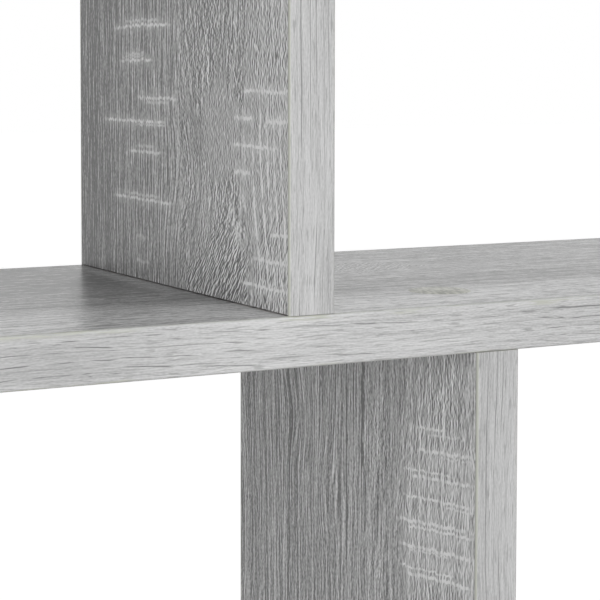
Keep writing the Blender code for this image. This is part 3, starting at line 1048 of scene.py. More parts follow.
@dataclass(frozen=True)
class SawnOak:
    """Melamine facing with a grey sawn-oak print, and raw chipboard where the board is cut.

    Attributes:
        shadow: The print's darkest linear grey.
        middle: Its grey at a tone of one half.
        light: Its grey at a tone of 1.
        hair: Its lightest grey, of light hairs on a light ground.
        mark: The grey of saw marks.
        dust: The grey of dust.
        roughness: The facing's own.
        raw_roughness: The chipboard's.
        gloss: How strongly the facing reflects.
        emboss: How deep the pressed grain is.
        facing: How thick the facing is.
        soft: Over what length a patch or a line fades at its ends.
    """

    shadow: float = 0.115
    middle: float = 0.325
    light: float = 0.600
    hair: float = 0.860
    mark: float = 0.800
    dust: float = 0.600
    roughness: float = 0.30
    raw_roughness: float = 0.9
    gloss: float = 0.28
    emboss: float = 0.02 * MM
    facing: float = 0.05 * MM
    soft: float = 6 * MM

    def build(self, name: str, axis: Axis, thickness_centre: float, seed: float, figure: Figure,
              thickness: float) -> Material:
        """Makes one board's material.

        Args:
            name: The material's name.
            axis: The way that the grain runs.
            thickness_centre: The middle of the board's thickness, in x where it is upright, and else in z.
            seed: Which slice of the print the board has.
            figure: What the print shows.
            thickness: The board's.

        Returns:
            The material.
        """
        material, graph, shader = new_material(name)
        coordinates = graph.node("ShaderNodeTexCoord").outputs["Object"]
        through = SLICES_PER_METRE
        if axis is Axis.UPRIGHT:
            scale, turn, centre = (through, 1.0, 1.0), math.pi / 2, seed + through * thickness_centre
        else:
            scale, turn, centre = (1.0, 1.0, through), 0.0, seed - through * thickness_centre
        point = graph.wire(graph.node("ShaderNodeMapping"), {
            "Vector": coordinates, "Scale": scale, "Rotation": (0.0, turn, 0.0),
            "Location": (0.0, 0.0, centre),
        })
        _, across, slice_ = graph.split(point)
        depth = slice_ - seed

        bent = self.bend(graph, point, figure)
        weave = graph.ease(across, figure.weave_to, figure.weave_from, figure.weave, 0.0)
        forward = across / -SHELF_DEPTH
        printed = graph.apply(oak_print(), Point=bent, Weave=weave,
                              Fibre_Contrast=graph.mix(forward, *figure.contrast))
        # The figure's back-to-front tone paints light falling in from the front: less is added at the back
        # edge.
        tone = self.tone(graph, point, bent, printed["Tone"], figure) + graph.mix(forward, *figure.tone)
        marks = self.marks(graph, point, figure)
        if figure.one_face_only:
            marks = marks * graph.math("GREATER_THAN", depth, 0.0)

        use = graph.apply(handling(), Point=coordinates)
        colour = graph.ramp(tone * 0.6, ((0.0, grey(self.shadow)), (0.3, grey(self.middle)),
                                         (0.6, grey(self.light)), (1.0, grey(self.hair))))
        colour = graph.tint(marks, colour, grey(self.mark))
        colour = graph.tint(use["Dust"] * 0.25, colour, grey(self.dust))
        raw = graph.apply(chipboard(), Point=coordinates)
        faced = graph.math("GREATER_THAN", abs(depth), through * (thickness / 2 - self.facing))
        relief = graph.mix(faced, raw["Relief"] * 4.0, printed["Relief"] + marks * 0.5)
        smoothness = self.roughness + use["Polish"] * 0.10 + marks * 0.10
        graph.wire(shader, {
            "Base Color": graph.tint(faced, raw["Color"], colour),
            "Roughness": graph.mix(faced, self.raw_roughness, smoothness),
            "Specular IOR Level": self.gloss,
            "Normal": graph.bump(relief, self.emboss, 0.5),
        })
        return material

    def bend(self, graph: Graph, point: Source, figure: Figure) -> Value:
        """The point as the grain runs through it.

        Args:
            graph: The material's graph.
            point: The point, unbent.
            figure: What the print shows.

        Returns:
            The bent point.
        """
        bent = graph.apply(grain_flow(), Point=point, Wander=figure.wander)["Point"]
        for bulge in figure.bulges:
            bent = graph.apply(grain_bulge(), Point=bent, **inputs_of(bulge))["Point"]
        for peak in figure.peaks:
            bent = graph.apply(grain_peak(), Point=bent, **inputs_of(peak))["Point"]
        return bent

    def tone(self, graph: Graph, point: Source, bent: Source, tone: Value, figure: Figure) -> Value:
        """The print's tone with all that the figure adds to it.

        Args:
            graph: The material's graph.
            point: The point, unbent.
            bent: The bent point.
            tone: The print's own tone.
            figure: What the print shows.

        Returns:
            The tone.
        """
        if figure.mottle:
            along, _, _ = graph.split(point)
            wide, long = (graph.rock(bent, stretch, figure.mottle)
                          for stretch in ((330.0, 230.0, 1.0), (60.0, 330.0, 1.0)))
            tone = tone + (wide + long) * graph.ease(along, -0.04, 0.02)
        for patch in figure.strokes:
            tone = graph.apply(leaning_strokes(), Point=point, Tone=tone, **inputs_of(patch))["Tone"]
        for vein in figure.veins:
            tone = tone + self.vein_tone(graph, point, bent, vein)
        for streak in figure.streaks:
            soft = min(self.soft, (streak.high - streak.low) / 2)
            tone = graph.apply(grain_streak(), Point=bent, Tone=tone, Soft=soft, **inputs_of(streak))["Tone"]
        return tone

    def vein_tone(self, graph: Graph, point: Source, bent: Source, vein: Veins) -> Value:
        """What a patch of lines adds to the tone.

        Args:
            graph: The material's graph.
            point: The point, unbent, which says where the patch is.
            bent: The bent point, along which the lines run.
            vein: The patch.

        Returns:
            The added tone.
        """
        along, across, _ = graph.split(point)
        lines = graph.apply(grain_lines(), Point=bent, Spacing=vein.spacing, Thickness=vein.thickness,
                            Run=vein.run, Cover=vein.cover)["Mask"]
        soft, half = self.soft, vein.half_width
        beside = graph.ease(abs(across - vein.across), half - soft, half + soft, 1.0, 0.0)
        above = graph.ease(along, vein.low - soft, vein.low + soft)
        below = graph.ease(along, vein.high - soft, vein.high + soft, 1.0, 0.0)
        return lines * beside * above * below * vein.tone

    def marks(self, graph: Graph, point: Source, figure: Figure) -> Value:
        """The mask of all saw marks, broken by the fibres.

        Args:
            graph: The material's graph.
            point: The point, unbent.
            figure: What the print shows.

        Returns:
            The mask.
        """
        combed = graph.apply(saw_comb(), Point=point)["Point"]
        mask: Source = 0.0
        for mark in [line for one in figure.marks for line in one.lines()]:
            mask = graph.apply(
                saw_mark(), Point=combed, Others=mask, Along=mark.height, Across=(mark.start + mark.end) / 2,
                Half_Width=abs(mark.start - mark.end) / 2, Thickness=mark.thickness, Slope=mark.slope,
                Strength=mark.strength,
            )["Mask"]
        for cluster in figure.clusters:
            mask = graph.apply(saw_cluster(), Point=combed, Others=mask, **inputs_of(cluster))["Mask"]
        dashes = graph.ease(graph.noise(point, (28.0, 800.0, 1.0), 0.0), 0.36, 0.58, 0.40, 1.0)
        return mask * dashes


@dataclass(frozen=True)
class PrintLine:
    """A line of the print in a known place, all in millimetres, or a broad veil of painted shade.

    Attributes:
        start: Where it starts along the strip.
        start_height: How high it lies there.
        end: Where it ends.
        end_height: How high it lies there.
        strength: How well it shows.
        thickness: Half its thickness at its full strength.
    """

    start: float
    start_height: float
    end: float
    end_height: float
    strength: float
    thickness: float = 0.27

    def points(self) -> list[tuple[float, float, float]]:
        """Place, height and strength where it starts, has grown to its full strength, fades and ends."""
        length = self.end - self.start
        taper = min(2.5 + 2.5 * self.thickness, 0.45 * length)
        climb = (self.end_height - self.start_height) * taper / length
        return [
            (self.start, self.start_height, 0.0),
            (self.start + taper, self.start_height + climb, self.strength),
            (self.end - taper, self.end_height - climb, self.strength),
            (self.end, self.end_height, 0.0),
        ]


@dataclass(frozen=True)
class PrintRow:
    """Lines of one thickness, one after another, which the same nodes can draw.

    Attributes:
        lines: The lines, from left to right.
        reach: How far the row's curves run to each side of the strip's middle, in millimetres.
        rise: The same upwards and downwards.
    """

    lines: tuple[PrintLine, ...]
    reach: float = 160.0
    rise: float = 8.0

    @staticmethod
    def sort(lines: tuple[PrintLine, ...]) -> list["PrintRow"]:
        """Shares lines out over as few rows as they fit in.

        Args:
            lines: The lines, in any order.

        Returns:
            The rows.
        """
        gap = 1.5
        rows: list[list[PrintLine]] = []
        for line in sorted(lines, key=lambda one: one.start):
            for row in rows:
                if row[-1].thickness == line.thickness and row[-1].end + gap < line.start:
                    row.append(line)
                    break
            else:
                rows.append([line])
        return [PrintRow(tuple(row)) for row in rows]

    def draw(self, graph: Graph, along: Value, across: Value, others: Source) -> Value:
        """Lays the row over other ones.

        Args:
            graph: Whose nodes to use.
            along: The place along the strip.
            across: The height on it.
            others: The mask so far.

        Returns:
            The mask with the row.
        """
        heights = []
        strengths = []
        for place, height, strength in [point for line in self.lines for point in line.points()]:
            share = min(max(0.5 + place / (2 * self.reach), 0.0), 1.0)
            heights.append((share, 0.5 + height / (2 * self.rise)))
            strengths.append((share, strength))
        here = along.times_plus(1 / (2 * self.reach * MM), 0.5)
        height = (graph.curve(here, heights) - 0.5) * (2 * self.rise * MM)
        return graph.apply(print_row(), Across=across, Others=others, Height=height,
                           Strength=graph.curve(here, strengths),
                           Thickness=self.lines[0].thickness * MM)["Mask"]


# The long board's front strip: what shows at the crossing of the two boxes. The last two rows are broad
# veils of painted shade over the strip's left and right ends.
FRONT_LINES_AND_PAINTED_SHADE = tuple(PrintLine(*row) for row in (
    (-125, 4.8, -121, 4.0, 0.7), (-121, 5.3, -113, 5.0, 0.8), (-114, 4.3, -108, 4.6, 0.8),
    (-112, 5.1, -103, 4.9, 0.9), (-104, 5.2, -87, 5.3, 0.7), (-87, 5.3, -78, 5.0, 0.8),
    (-86.5, 4.0, -82, 3.7, 0.9), (-79, 3.8, -72, 3.4, 0.8), (-108, 3.4, -93, 2.6, 1.0),
    (-180, 1.2, -116, 2.1, 0.8), (-118, 2.1, -91, 1.9, 0.8), (-93, 2.0, -61, 1.3, 0.7),
    (-62, 1.6, -52, 0.9, 0.8), (-66, 4.8, -54, 4.1, 0.8), (-160, -1.6, -117, -0.8, 1.0),
    (-115, -1.0, -104, -0.7, 0.9), (-102.5, -0.7, -92, -1.1, 1.0), (-93.5, -0.5, -80, -1.3, 0.9),
    (-81, -1.1, -69, -1.3, 0.8), (-68.5, -1.1, -65, -1.2, 0.8), (-62, -1.1, -49, -1.6, 0.9),
    (-150, -6.0, -121, -4.1, 1.0), (-120, -4.3, -104, -4.2, 0.8), (-105.5, -4.6, -99, -4.2, 0.9),
    (-103, -4.8, -100, -5.3, 0.9), (-97, -4.4, -91, -5.2, 0.9), (-93, -3.3, -75, -4.0, 1.0),
    (-76, -3.9, -60, -4.3, 0.7), (-70, -4.7, -49, -5.8, 0.8), (-107, -5.8, -99, -6.5, 0.6),
    (-84, -6.1, -72, -6.4, 0.5), (-102, 0.7, -98.5, 0.3, 0.7), (-52, 4.4, -45, 4.1, 1.0),
    (-44, 4.3, -36, 4.4, 0.7), (-38, 4.6, -21, 4.0, 0.8), (-21, 4.1, -9, 3.7, 0.9), (-11, 3.8, 4, 3.1, 0.7),
    (-39, 1.2, -25, 1.6, 0.6), (-22, 1.1, -13, 0.8, 0.5), (-36, -1.5, -22, -1.9, 0.7),
    (-48, -4.3, -35, -4.1, 0.7), (-40.5, -5.2, -36.5, -5.1, 0.7), (-25, -4.4, -10, -5.1, 0.8),
    (-0.5, 0.6, 3.5, 0.5, 0.9), (-1, 5.2, 11, 5.0, 0.6), (4, -2.5, 11, -2.8, 0.5), (14, 0.2, 16.5, 0.0, 0.8),
    (23, 6.3, 28, 6.2, 0.6), (20, 3.4, 38, 3.0, 0.4), (39, 4.3, 48, 3.8, 0.8), (51, 4.6, 110, 3.4, 1.0),
    (46, 1.9, 54, 1.4, 0.9), (53.5, 1.6, 58.5, 1.1, 1.0), (58, 1.2, 95, 0.8, 0.8),
    (34.5, -1.4, 36.5, -1.6, 0.8), (41.5, -1.6, 44.5, -1.9, 1.0), (49, -1.7, 60, -1.5, 0.9),
    (59, -1.3, 80, -2.1, 0.6), (49, -3.6, 55, -3.9, 0.7), (54, -4.2, 59.5, -4.1, 0.8),
    (60, -4.1, 90, -5.0, 0.6), (37, -4.9, 42, -4.7, 0.6), (54, -5.5, 60, -5.8, 0.5),
    # Painted shade: broad dark veils, strong over the left end and faint over the right
    (-160, 0.0, -60, 0.0, 0.27, 18.0), (34, 0.0, 160, 0.0, 0.06, 18.0),
))
FRONT_RAW = tuple(PrintLine(*row) for row in (
    (-160, 7.4, -84, 7.1, 0.9, 1.6), (-46, 7.3, -22, 6.8, 0.9, 1.6), (-9, 7.1, 9, 6.6, 0.9, 1.6),
    (12, 7.4, 22, 7.4, 0.6, 1.6), (38, 7.0, 66, 6.7, 0.9, 1.6), (-160, -7.3, -84, -7.2, 0.9, 0.7),
    (-34, -7.2, -20, -7.1, 0.7, 0.7), (14, -7.2, 42, -7.2, 0.7, 0.7),
))


@dataclass(frozen=True)
class PaleEdging:
    """Plastic edging with a pale oak print on its outer face and raw beige plastic where the trimmer cut it.

    Attributes:
        name: The material's name.
        shadow: The print's darkest linear grey.
        middle: Its grey at a tone of one half.
        light: Its lightest grey.
        line: The grey of the long dark pores, and of the painted shade of broad placed lines.
        scratch: The grey of the scratches in the raw plastic.
        raw: The plastic's own colour.
        glue: The colour of the glue line.
        roughness: The print's.
        emboss: How deep the pressed grain is.
        cover: How well the scattered pores show, from 0 to 1.
        origin: What the strip that the placed lines are on adds to places along it.
        lines: Dark lines in known places; broad ones are veils of painted shade.
        patches: Stretches in known places where the print is worn through to the plastic.
    """

    name: str = "pale_oak_edging"
    shadow: float = 0.37
    middle: float = 0.530
    light: float = 0.65
    line: float = 0.17
    scratch: float = 0.42
    raw: Colour = (0.520, 0.530, 0.465, 1.0)
    glue: Colour = (0.30, 0.30, 0.27, 1.0)
    roughness: float = 0.40
    emboss: float = 0.04 * MM
    cover: float = 1.0
    origin: float = 0.0
    lines: tuple[PrintLine, ...] = ()
    patches: tuple[PrintLine, ...] = ()

    def placed(self, graph: Graph, point: Source, lines: tuple[PrintLine, ...], gaps: float) -> Value:
        """A mask of lines in known places, a little wavy and broken.

        They are print lines, worn stretches, or broad veils of painted shade.

        Args:
            graph: Whose nodes to use.
            point: The place on the strip.
            lines: The lines.
            gaps: How weak they get where they are broken, from 1 for not at all down.

        Returns:
            The mask.
        """
        along, across, _ = graph.split(point)
        wavy = across + graph.rock(point, (85.0, 160.0, 1.0), 1.0 * MM)
        along = along - self.origin
        mask: Source = 0.0
        for row in PrintRow.sort(lines):
            mask = row.draw(graph, along, wavy, mask)
        return mask * graph.ease(graph.noise(point, (110.0, 2400.0, 1.0)), 0.36, 0.62, gaps, 1.15)

    def dark(self, graph: Graph, point: Source, bent: Source) -> Value:
        """The mask of the print's dark pores, hairs and placed lines; broad placed lines are painted shade.

        Args:
            graph: The material's graph.
            point: The place on the strip.
            bent: The same as the grain runs.

        Returns:
            The mask.
        """
        crowd = graph.noise(point, (14.0, 90.0, 1.0), 0.0)
        pores = graph.apply(grain_lines(), Point=bent, Spacing=2.2 * MM, Thickness=0.17 * MM, Run=0.045,
                            Cover=crowd.times_plus(1.3, -0.05))["Mask"] * self.cover
        if self.lines:
            pores = graph.math("MAXIMUM", pores, self.placed(graph, point, self.lines, 0.75))
        hairs = graph.ease(graph.noise(bent, (150.0, 2100.0, 1.0), 0.0), 0.62, 0.74)
        return graph.math("MAXIMUM", pores, hairs * 0.45)

    def worn(self, graph: Graph, strip: Source, point: Source) -> Value:
        """The mask of raw plastic: the trimmed corners, less where they are printed over, and worn stretches.

        Args:
            graph: The material's graph.
            strip: The place on the strip and in it.
            point: The place on the strip.

        Returns:
            The mask.
        """
        along, across, depth = graph.split(strip)
        cut_from = graph.noise(strip, (35.0, 400.0, 1.0)).times_plus(0.3 * MM, -0.06 * MM)
        trimmed = graph.ease(depth, cut_from, cut_from + 0.12 * MM)
        if self.patches:
            patches = self.placed(graph, point, self.patches, -0.15)
            return graph.math("MAXIMUM", trimmed * 0.35, patches, clamp=True)
        flat = graph.math("GREATER_THAN", along, 0.0)
        spells = graph.noise(graph.join(along, 0.0, 3.0), (11.0, 1.0, 1.0))
        printed_over = flat * graph.ease(spells, 0.42, 0.58, 0.75, 0.0)
        rubbed = flat * graph.ease(across, 5.7 * MM, 7.3 * MM) * graph.ease(spells, 0.5, 0.66, 0.0, 0.6)
        return graph.math("MAXIMUM", trimmed * (1.0 - printed_over), rubbed)

    def build(self) -> Material:
        """Makes the material, which reads each strip's own coordinates from its strip attribute."""
        material, graph, shader = new_material(self.name)
        strip = graph.attribute(STRIP_ATTRIBUTE)
        along, across, depth = graph.split(strip)
        point = graph.join(along, across)
        bent = graph.apply(grain_flow(), Point=point, Wander=3.2 * MM, Wander_Length=0.060, Ripple=0.7 * MM,
                           Ripple_Length=0.013)["Point"]
        dark = self.dark(graph, point, bent)
        falling = graph.join(along, along.times_plus(0.035, across), 5.0)
        wisps = graph.fibre(falling, (300.0, 2300.0, 1.0), 0.7, 0.36 * MM)
        wisps = wisps + graph.fibre(bent, (70.0, 2500.0, 1.0), 0.65, 0.32 * MM)
        grit = graph.rock(bent, (900.0, 2600.0, 1.0), 0.5, 0.0)
        fibres = wisps + grit + graph.rock(bent, (70.0, 1300.0, 1.0), 0.5)
        streaks = graph.rock(bent, (22.0, 700.0, 1.0), 0.6, 0.0)
        clouds = graph.rock(bent, (9.0, 60.0, 1.0), 0.6, 0.0)
        slow = graph.rock(point, (4.0, 20.0, 1.0), 0.5, 0.0)
        greys = ((0.0, grey(self.shadow)), (0.5, grey(self.middle)), (1.0, grey(self.light)))
        colour = graph.ramp(0.5 + fibres + streaks + clouds + slow, greys)
        colour = graph.tint(dark * 0.95, colour, grey(self.line))

        raw = self.worn(graph, strip, point)
        scratches = graph.noise(strip, (8.0, 300.0, 9000.0))
        colour = graph.tint(raw, colour, graph.tint(scratches * 0.35, self.raw, grey(self.scratch)))
        glued = graph.ease(depth, STRIP_THICKNESS - 0.02 * MM, STRIP_THICKNESS + 0.02 * MM)
        relief = graph.mix(raw, fibres + dark * -1.4, scratches * 0.5)
        use = graph.apply(handling(), Point=strip)
        graph.wire(shader, {
            "Base Color": graph.tint(glued, colour, self.glue),
            "Roughness": self.roughness + use["Polish"] * 0.10 + raw * 0.12,
            "Normal": graph.bump(relief, self.emboss, 0.4),
        })
        return material


def add_piece(name: str, data: ID, material: Material | None = None) -> Object:
    """An object in the scene's collection.

    Args:
        name: The object's name.
        data: Its mesh, camera or lamp.
        material: Its material, if it has one yet.

    Returns:
        The object.
    """
    piece = bpy.data.objects.new(name, data)
    bpy.context.scene.collection.objects.link(piece)
    if material is not None:
        data.materials.append(material)
    return piece


def prism(name: str, rings: Sequence[Sequence[Triple]], merge: float = 0.0) -> Mesh:
    """A closed mesh through rings of points.

    Args:
        name: The mesh's name.
        rings: The rings, all with the same number of points, from one end to the other.
        merge: How near two points lie that become one, or 0 to leave all.

    Returns:
        The mesh.
    """
    bm = bmesh.new()
    loops = [[bm.verts.new(point) for point in ring] for ring in rings]
    for one, following in zip(loops, loops[1:]):
        for k, vertex in enumerate(one):
            after = (k + 1) % len(one)
            bm.faces.new((vertex, one[after], following[after], following[k]))
    bm.faces.new(loops[0])
    bm.faces.new(loops[-1])
    if merge:
        bmesh.ops.remove_doubles(bm, verts=bm.verts, dist=merge)
    bmesh.ops.recalc_face_normals(bm, faces=bm.faces)
    mesh = bpy.data.meshes.new(name)
    bm.to_mesh(mesh)
    bm.free()
    return mesh


def smooth(mesh: Mesh) -> None:
    """Shades round parts smooth and keeps sharp edges."""
    mesh.shade_smooth()
    mesh.set_sharp_from_angle(angle=SHARP_FROM)


def evaluated(piece: Object) -> Mesh:
    """The object's mesh with its modifiers applied, as a new mesh."""
    return bpy.data.meshes.new_from_object(piece.evaluated_get(bpy.context.evaluated_depsgraph_get()))


def carve(piece: Object, cutter: Object) -> None:
    """Cuts one object out of another and deletes the cutter.

    Args:
        piece: The object that is cut.
        cutter: What is cut out of it.
    """
    modifier = piece.modifiers.new("recess", "BOOLEAN")
    modifier.operation = "DIFFERENCE"
    modifier.solver = "EXACT"
    modifier.object = cutter
    piece.data = evaluated(piece)
    piece.modifiers.clear()
    bpy.data.objects.remove(cutter)


def stadium_cutter(low: Vector, high: Vector, clearance: float) -> Object:
    """A closed prism with round ends, upright in XZ, round a plate.

    Args:
        low: The plate's lowest corner.
        high: Its highest corner.
        clearance: How far the prism stands off it.

    Returns:
        The cutter.
    """
    sides = 16
    overshoot = 2 * MM
    centre = middle(low, high)
    radius = (high.x - low.x) / 2 + clearance
    rise = (high.z - low.z) / 2 + clearance - radius
    outline = []
    for end, start in ((1, 0.0), (-1, math.pi)):
        for k in range(sides + 1):
            angle = start + math.pi * k / sides
            outline.append((centre.x + radius * math.cos(angle),
                            centre.z + end * rise + radius * math.sin(angle)))
    rings = [[(x, y, z) for x, z in outline] for y in (low.y - overshoot, high.y + overshoot)]
    return add_piece("recess_cutter", prism("recess_cutter", rings))


@dataclass(frozen=True)
class Stamp:
    """Where a copy goes: its place, and its turn as Euler angles."""

    place: Triple
    turn: Triple


def grow(name: str, stamps: Sequence[Stamp], tree: NodeTree, **values: object) -> Object:
    """Runs a Geometry Nodes tree on points and keeps its result as a plain mesh.

    Args:
        name: The piece's name.
        stamps: Where the copies go.
        tree: The tree.
        **values: The tree's inputs, named as they are, with _ for a space.

    Returns:
        The piece, riding on its body.
    """
    mesh = bpy.data.meshes.new(f"{name}_points")
    mesh.from_pydata([stamp.place for stamp in stamps], [], [])
    turns = mesh.attributes.new(TURN_ATTRIBUTE, "FLOAT_VECTOR", "POINT")
    for value, stamp in zip(turns.data, stamps):
        value.vector = stamp.turn
    piece = add_piece(name, mesh)
    modifier = piece.modifiers.new(name, "NODES")
    modifier.node_group = tree
    for item in tree.interface.items_tree:
        key = item.name.replace(" ", "_")
        if item.in_out == "INPUT" and key in values:
            modifier[item.identifier] = values[key]
    piece.data = evaluated(piece)
    piece.modifiers.clear()
    smooth(piece.data)
    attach(piece, ROOT_BODY)
    return piece


# The keyhole hanger that each of these strips is recessed for
HANGER_OF_STRIP = {
    "upper_outer_upright_back_edging": "left_hanger",
    "upper_inner_upright_back_edging": "middle_hanger",
    "lower_outer_upright_back_edging": "right_hanger",
}


@dataclass
class EdgingStrip:
    """One strip of edging, which stands for the plainer CAD one: rounder corners, and the glue behind it.

    Attributes:
        node: The CAD strip's name.
        side: The board edge that it is on.
        axis: The way that its board lies.
        end_radius: How round its two ends are trimmed.
        seed: Which stretch of the print it has, below 0 on an upright.
        corner_radius: How round its long corners are trimmed.
        corner_steps: How many facets a corner has.
        recess_clearance: How far a hanger's recess stands off the plate.
    """

    node: str
    side: Side
    axis: Axis
    end_radius: float
    seed: float
    corner_radius: float = 0.8 * MM
    corner_steps: int = 7
    recess_clearance: float = 0.3 * MM

    def placement(self) -> tuple[Matrix, float, float]:
        """Where the strip goes.

        Returns:
            The matrix that brings it there, its length and its width.
        """
        low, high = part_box(self.node)
        size = high - low
        spin = Matrix.Rotation(self.side.value, 4, "Z")
        if self.axis is Axis.UPRIGHT:
            spin = Matrix.Rotation(-math.pi / 2, 4, "Y") @ spin
            length, width = size.z + 2 * SEAM_FILL, size.x
        else:
            length, width = (size.x if self.side in (Side.FRONT, Side.BACK) else size.y), size.z
        inward = spin.to_3x3() @ Vector((0.0, 1.0, 0.0))
        outer = middle(low, high) - inward * STRIP_THICKNESS / 2
        return Matrix.Translation(outer) @ spin, length, width

    def round_off(self, radius: float) -> list[tuple[float, float]]:
        """A rounded corner, as pairs of how far its outline has come in from each of the two sides."""
        angles = [math.pi / 2 * k / self.corner_steps for k in range(self.corner_steps + 1)]
        return [(radius * (1 - math.sin(angle)), radius * (1 - math.cos(angle))) for angle in angles]

    def profile(self, width: float) -> list[tuple[float, float]]:
        """The strip's cross-section as (depth, across) pairs, from the glued face round the outside.

        Args:
            width: The strip's.

        Returns:
            The outline's points, in order.
        """
        inner = STRIP_THICKNESS + GLUE_DEPTH
        half = width / 2
        corner = [(depth, half - inset) for depth, inset in self.round_off(self.corner_radius)]
        upper = [*reversed(corner), (STRIP_THICKNESS, half), (inner, half)]
        return [(depth, -across) for depth, across in reversed(upper)] + upper

    def stations(self, length: float) -> list[tuple[float, float]]:
        """Where cross-sections stand along the strip, each with how deep its outer side is cut back.

        Args:
            length: The strip's.

        Returns:
            Pairs of a place along it and a depth, from one end to the other.
        """
        half = length / 2
        if not self.end_radius:
            return [(-half, 0.0), (half, 0.0)]
        ends = [(half - inset, cut) for cut, inset in self.round_off(self.end_radius)]
        return [(-place, cut) for place, cut in ends] + list(reversed(ends))

    def build(self, material: Material) -> Object:
        """Makes the strip.

        Args:
            material: The edging's.

        Returns:
            The strip's object, in place and riding on its body.
        """
        matrix, length, width = self.placement()
        outline = self.profile(width)
        rings = [[(place, max(depth, cut), across) for depth, across in outline]
                 for place, cut in self.stations(length)]
        mesh = prism(f"{self.node}_fine", rings, 0.001 * MM)
        mesh.transform(matrix)
        piece = add_piece(f"{self.node}_fine", mesh, material)
        if self.node in HANGER_OF_STRIP:
            carve(piece, stadium_cutter(*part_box(HANGER_OF_STRIP[self.node]), self.recess_clearance))
        self.write_coordinates(piece.data, matrix)
        smooth(piece.data)
        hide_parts(self.node)
        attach(piece, ROOT_BODY)
        return piece

    def write_coordinates(self, mesh: Mesh, matrix: Matrix) -> None:
        """Keeps each vertex's place along, across and into the strip for the print.

        Args:
            mesh: The finished mesh, in place.
            matrix: What brought it there.
        """
        back = matrix.inverted()
        coordinates = mesh.attributes.new(STRIP_ATTRIBUTE, "FLOAT_VECTOR", "POINT")
        for vertex, value in zip(mesh.vertices, coordinates.data):
            local = back @ vertex.co
            value.vector = (local.x + self.seed, local.z, local.y)


UPPER_INNER_FIGURE = Figure(
    weave_from=-0.078,
    weave_to=-0.094,
    wander=2 * MM,
    bulges=(
        Bulge(along=0.046, across=-0.092, shift=0.005, length=0.018, width=0.016),
    ),
    peaks=(
        Peak(along=0.047, across=-0.128, spread=0.009, length=0.040, core=0.014, reach=0.040),
    ),
    # Painted shade at the back edge and painted light at the front edge of the face
    tone=(-0.35, 0.30),
    contrast=(0.95, 0.90),
    strokes=(
        Strokes(along=0.060, across=-0.115, length=0.018, width=0.013, contrast=1.20, shade=-0.05,
                fineness=1.7),
        Strokes(along=0.055, across=-0.147, length=0.085, width=0.017, contrast=1.06, shade=0.00,
                fineness=1.7),
        Strokes(along=0.087, across=-0.148, length=0.024, width=0.015, contrast=1.60, shade=-0.04,
                fineness=1.4),
        Strokes(along=0.016, across=-0.150, length=0.022, width=0.012, slope=-0.20, contrast=1.75, shade=0.04,
                fineness=1.4),
        Strokes(along=0.017, across=-0.119, length=0.013, width=0.015, slope=-0.75, contrast=2.5, shade=0.12,
                fineness=1.2),
        Strokes(along=0.009, across=-0.102, length=0.010, width=0.014, slope=-0.75, contrast=1.9, shade=0.06,
                fineness=1.2),
    ),
    marks=SawMark.rows(
        (0.0928, -0.029, -0.082, 0.95, 0.8, 1.6), (0.0813, -0.035, -0.066, 0.90, 0.8, 2.1),
        (0.0825, -0.037, -0.061, 0.60, 0.6), (0.0688, -0.050, -0.086, 0.85, 0.8, -1.4),
        (0.0610, -0.021, -0.078, 0.95, 0.8), (0.0599, -0.048, -0.076, 0.70, 0.6),
        (0.0508, -0.043, -0.073, 0.80, 0.8, 1.9), (0.0347, -0.028, -0.084, 0.82, 0.8, 1.5),
        (0.0220, -0.050, -0.062, 0.35), (0.0137, -0.050, -0.062, 0.45), (0.0719, -0.128, -0.162, 1.10, 0.8),
        (0.0638, -0.124, -0.138, 1.15, 0.9), (0.0634, -0.145, -0.163, 1.30, 0.9),
        (0.0556, -0.121, -0.155, 1.10, 0.8), (0.0475, -0.124, -0.136, 1.05),
        (0.0306, -0.147, -0.163, 1.15, 0.9), (0.0226, -0.137, -0.163, 1.20, 0.9),
        (0.0146, -0.128, -0.162, 1.15, 0.8),
    ),
    clusters=(
        SawCluster(first=0.110, last=0.225, across=-0.055, half_width=0.030, spacing=11 * MM, seed=4.0),
    ),
    streaks=Streak.rows(
        (-0.1360, -0.010, 0.066, 0.70, 0.9), (-0.1412, -0.010, 0.070, 0.95, 0.8),
        (-0.1455, -0.010, 0.074, 0.75, 0.8), (-0.1497, -0.010, 0.068, 0.90, 0.8),
        (-0.1430, 0.066, 0.240, 0.45, 0.8), (-0.1490, 0.080, 0.240, 0.40, 0.8),
        (-0.1540, -0.010, 0.068, 0.80, 0.8), (-0.1550, 0.072, 0.140, 0.50, 0.8),
        (-0.1510, 0.0806, 0.0834, -2.80, 0.9), (-0.0150, -0.010, 0.240, -0.28, 4.0),
        (-0.0280, -0.010, 0.070, -0.25), (-0.0370, -0.010, 0.050, -0.22), (-0.0320, 0.000, 0.100, 0.20),
        (-0.0450, 0.000, 0.062, 0.24), (-0.0575, 0.000, 0.095, 0.26), (-0.0660, 0.000, 0.085, 0.20),
        (-0.0710, 0.010, 0.078, 0.24), (-0.0755, 0.002, 0.050, 0.20), (-0.0800, 0.020, 0.090, 0.18),
    ),
    one_face_only=True,
)

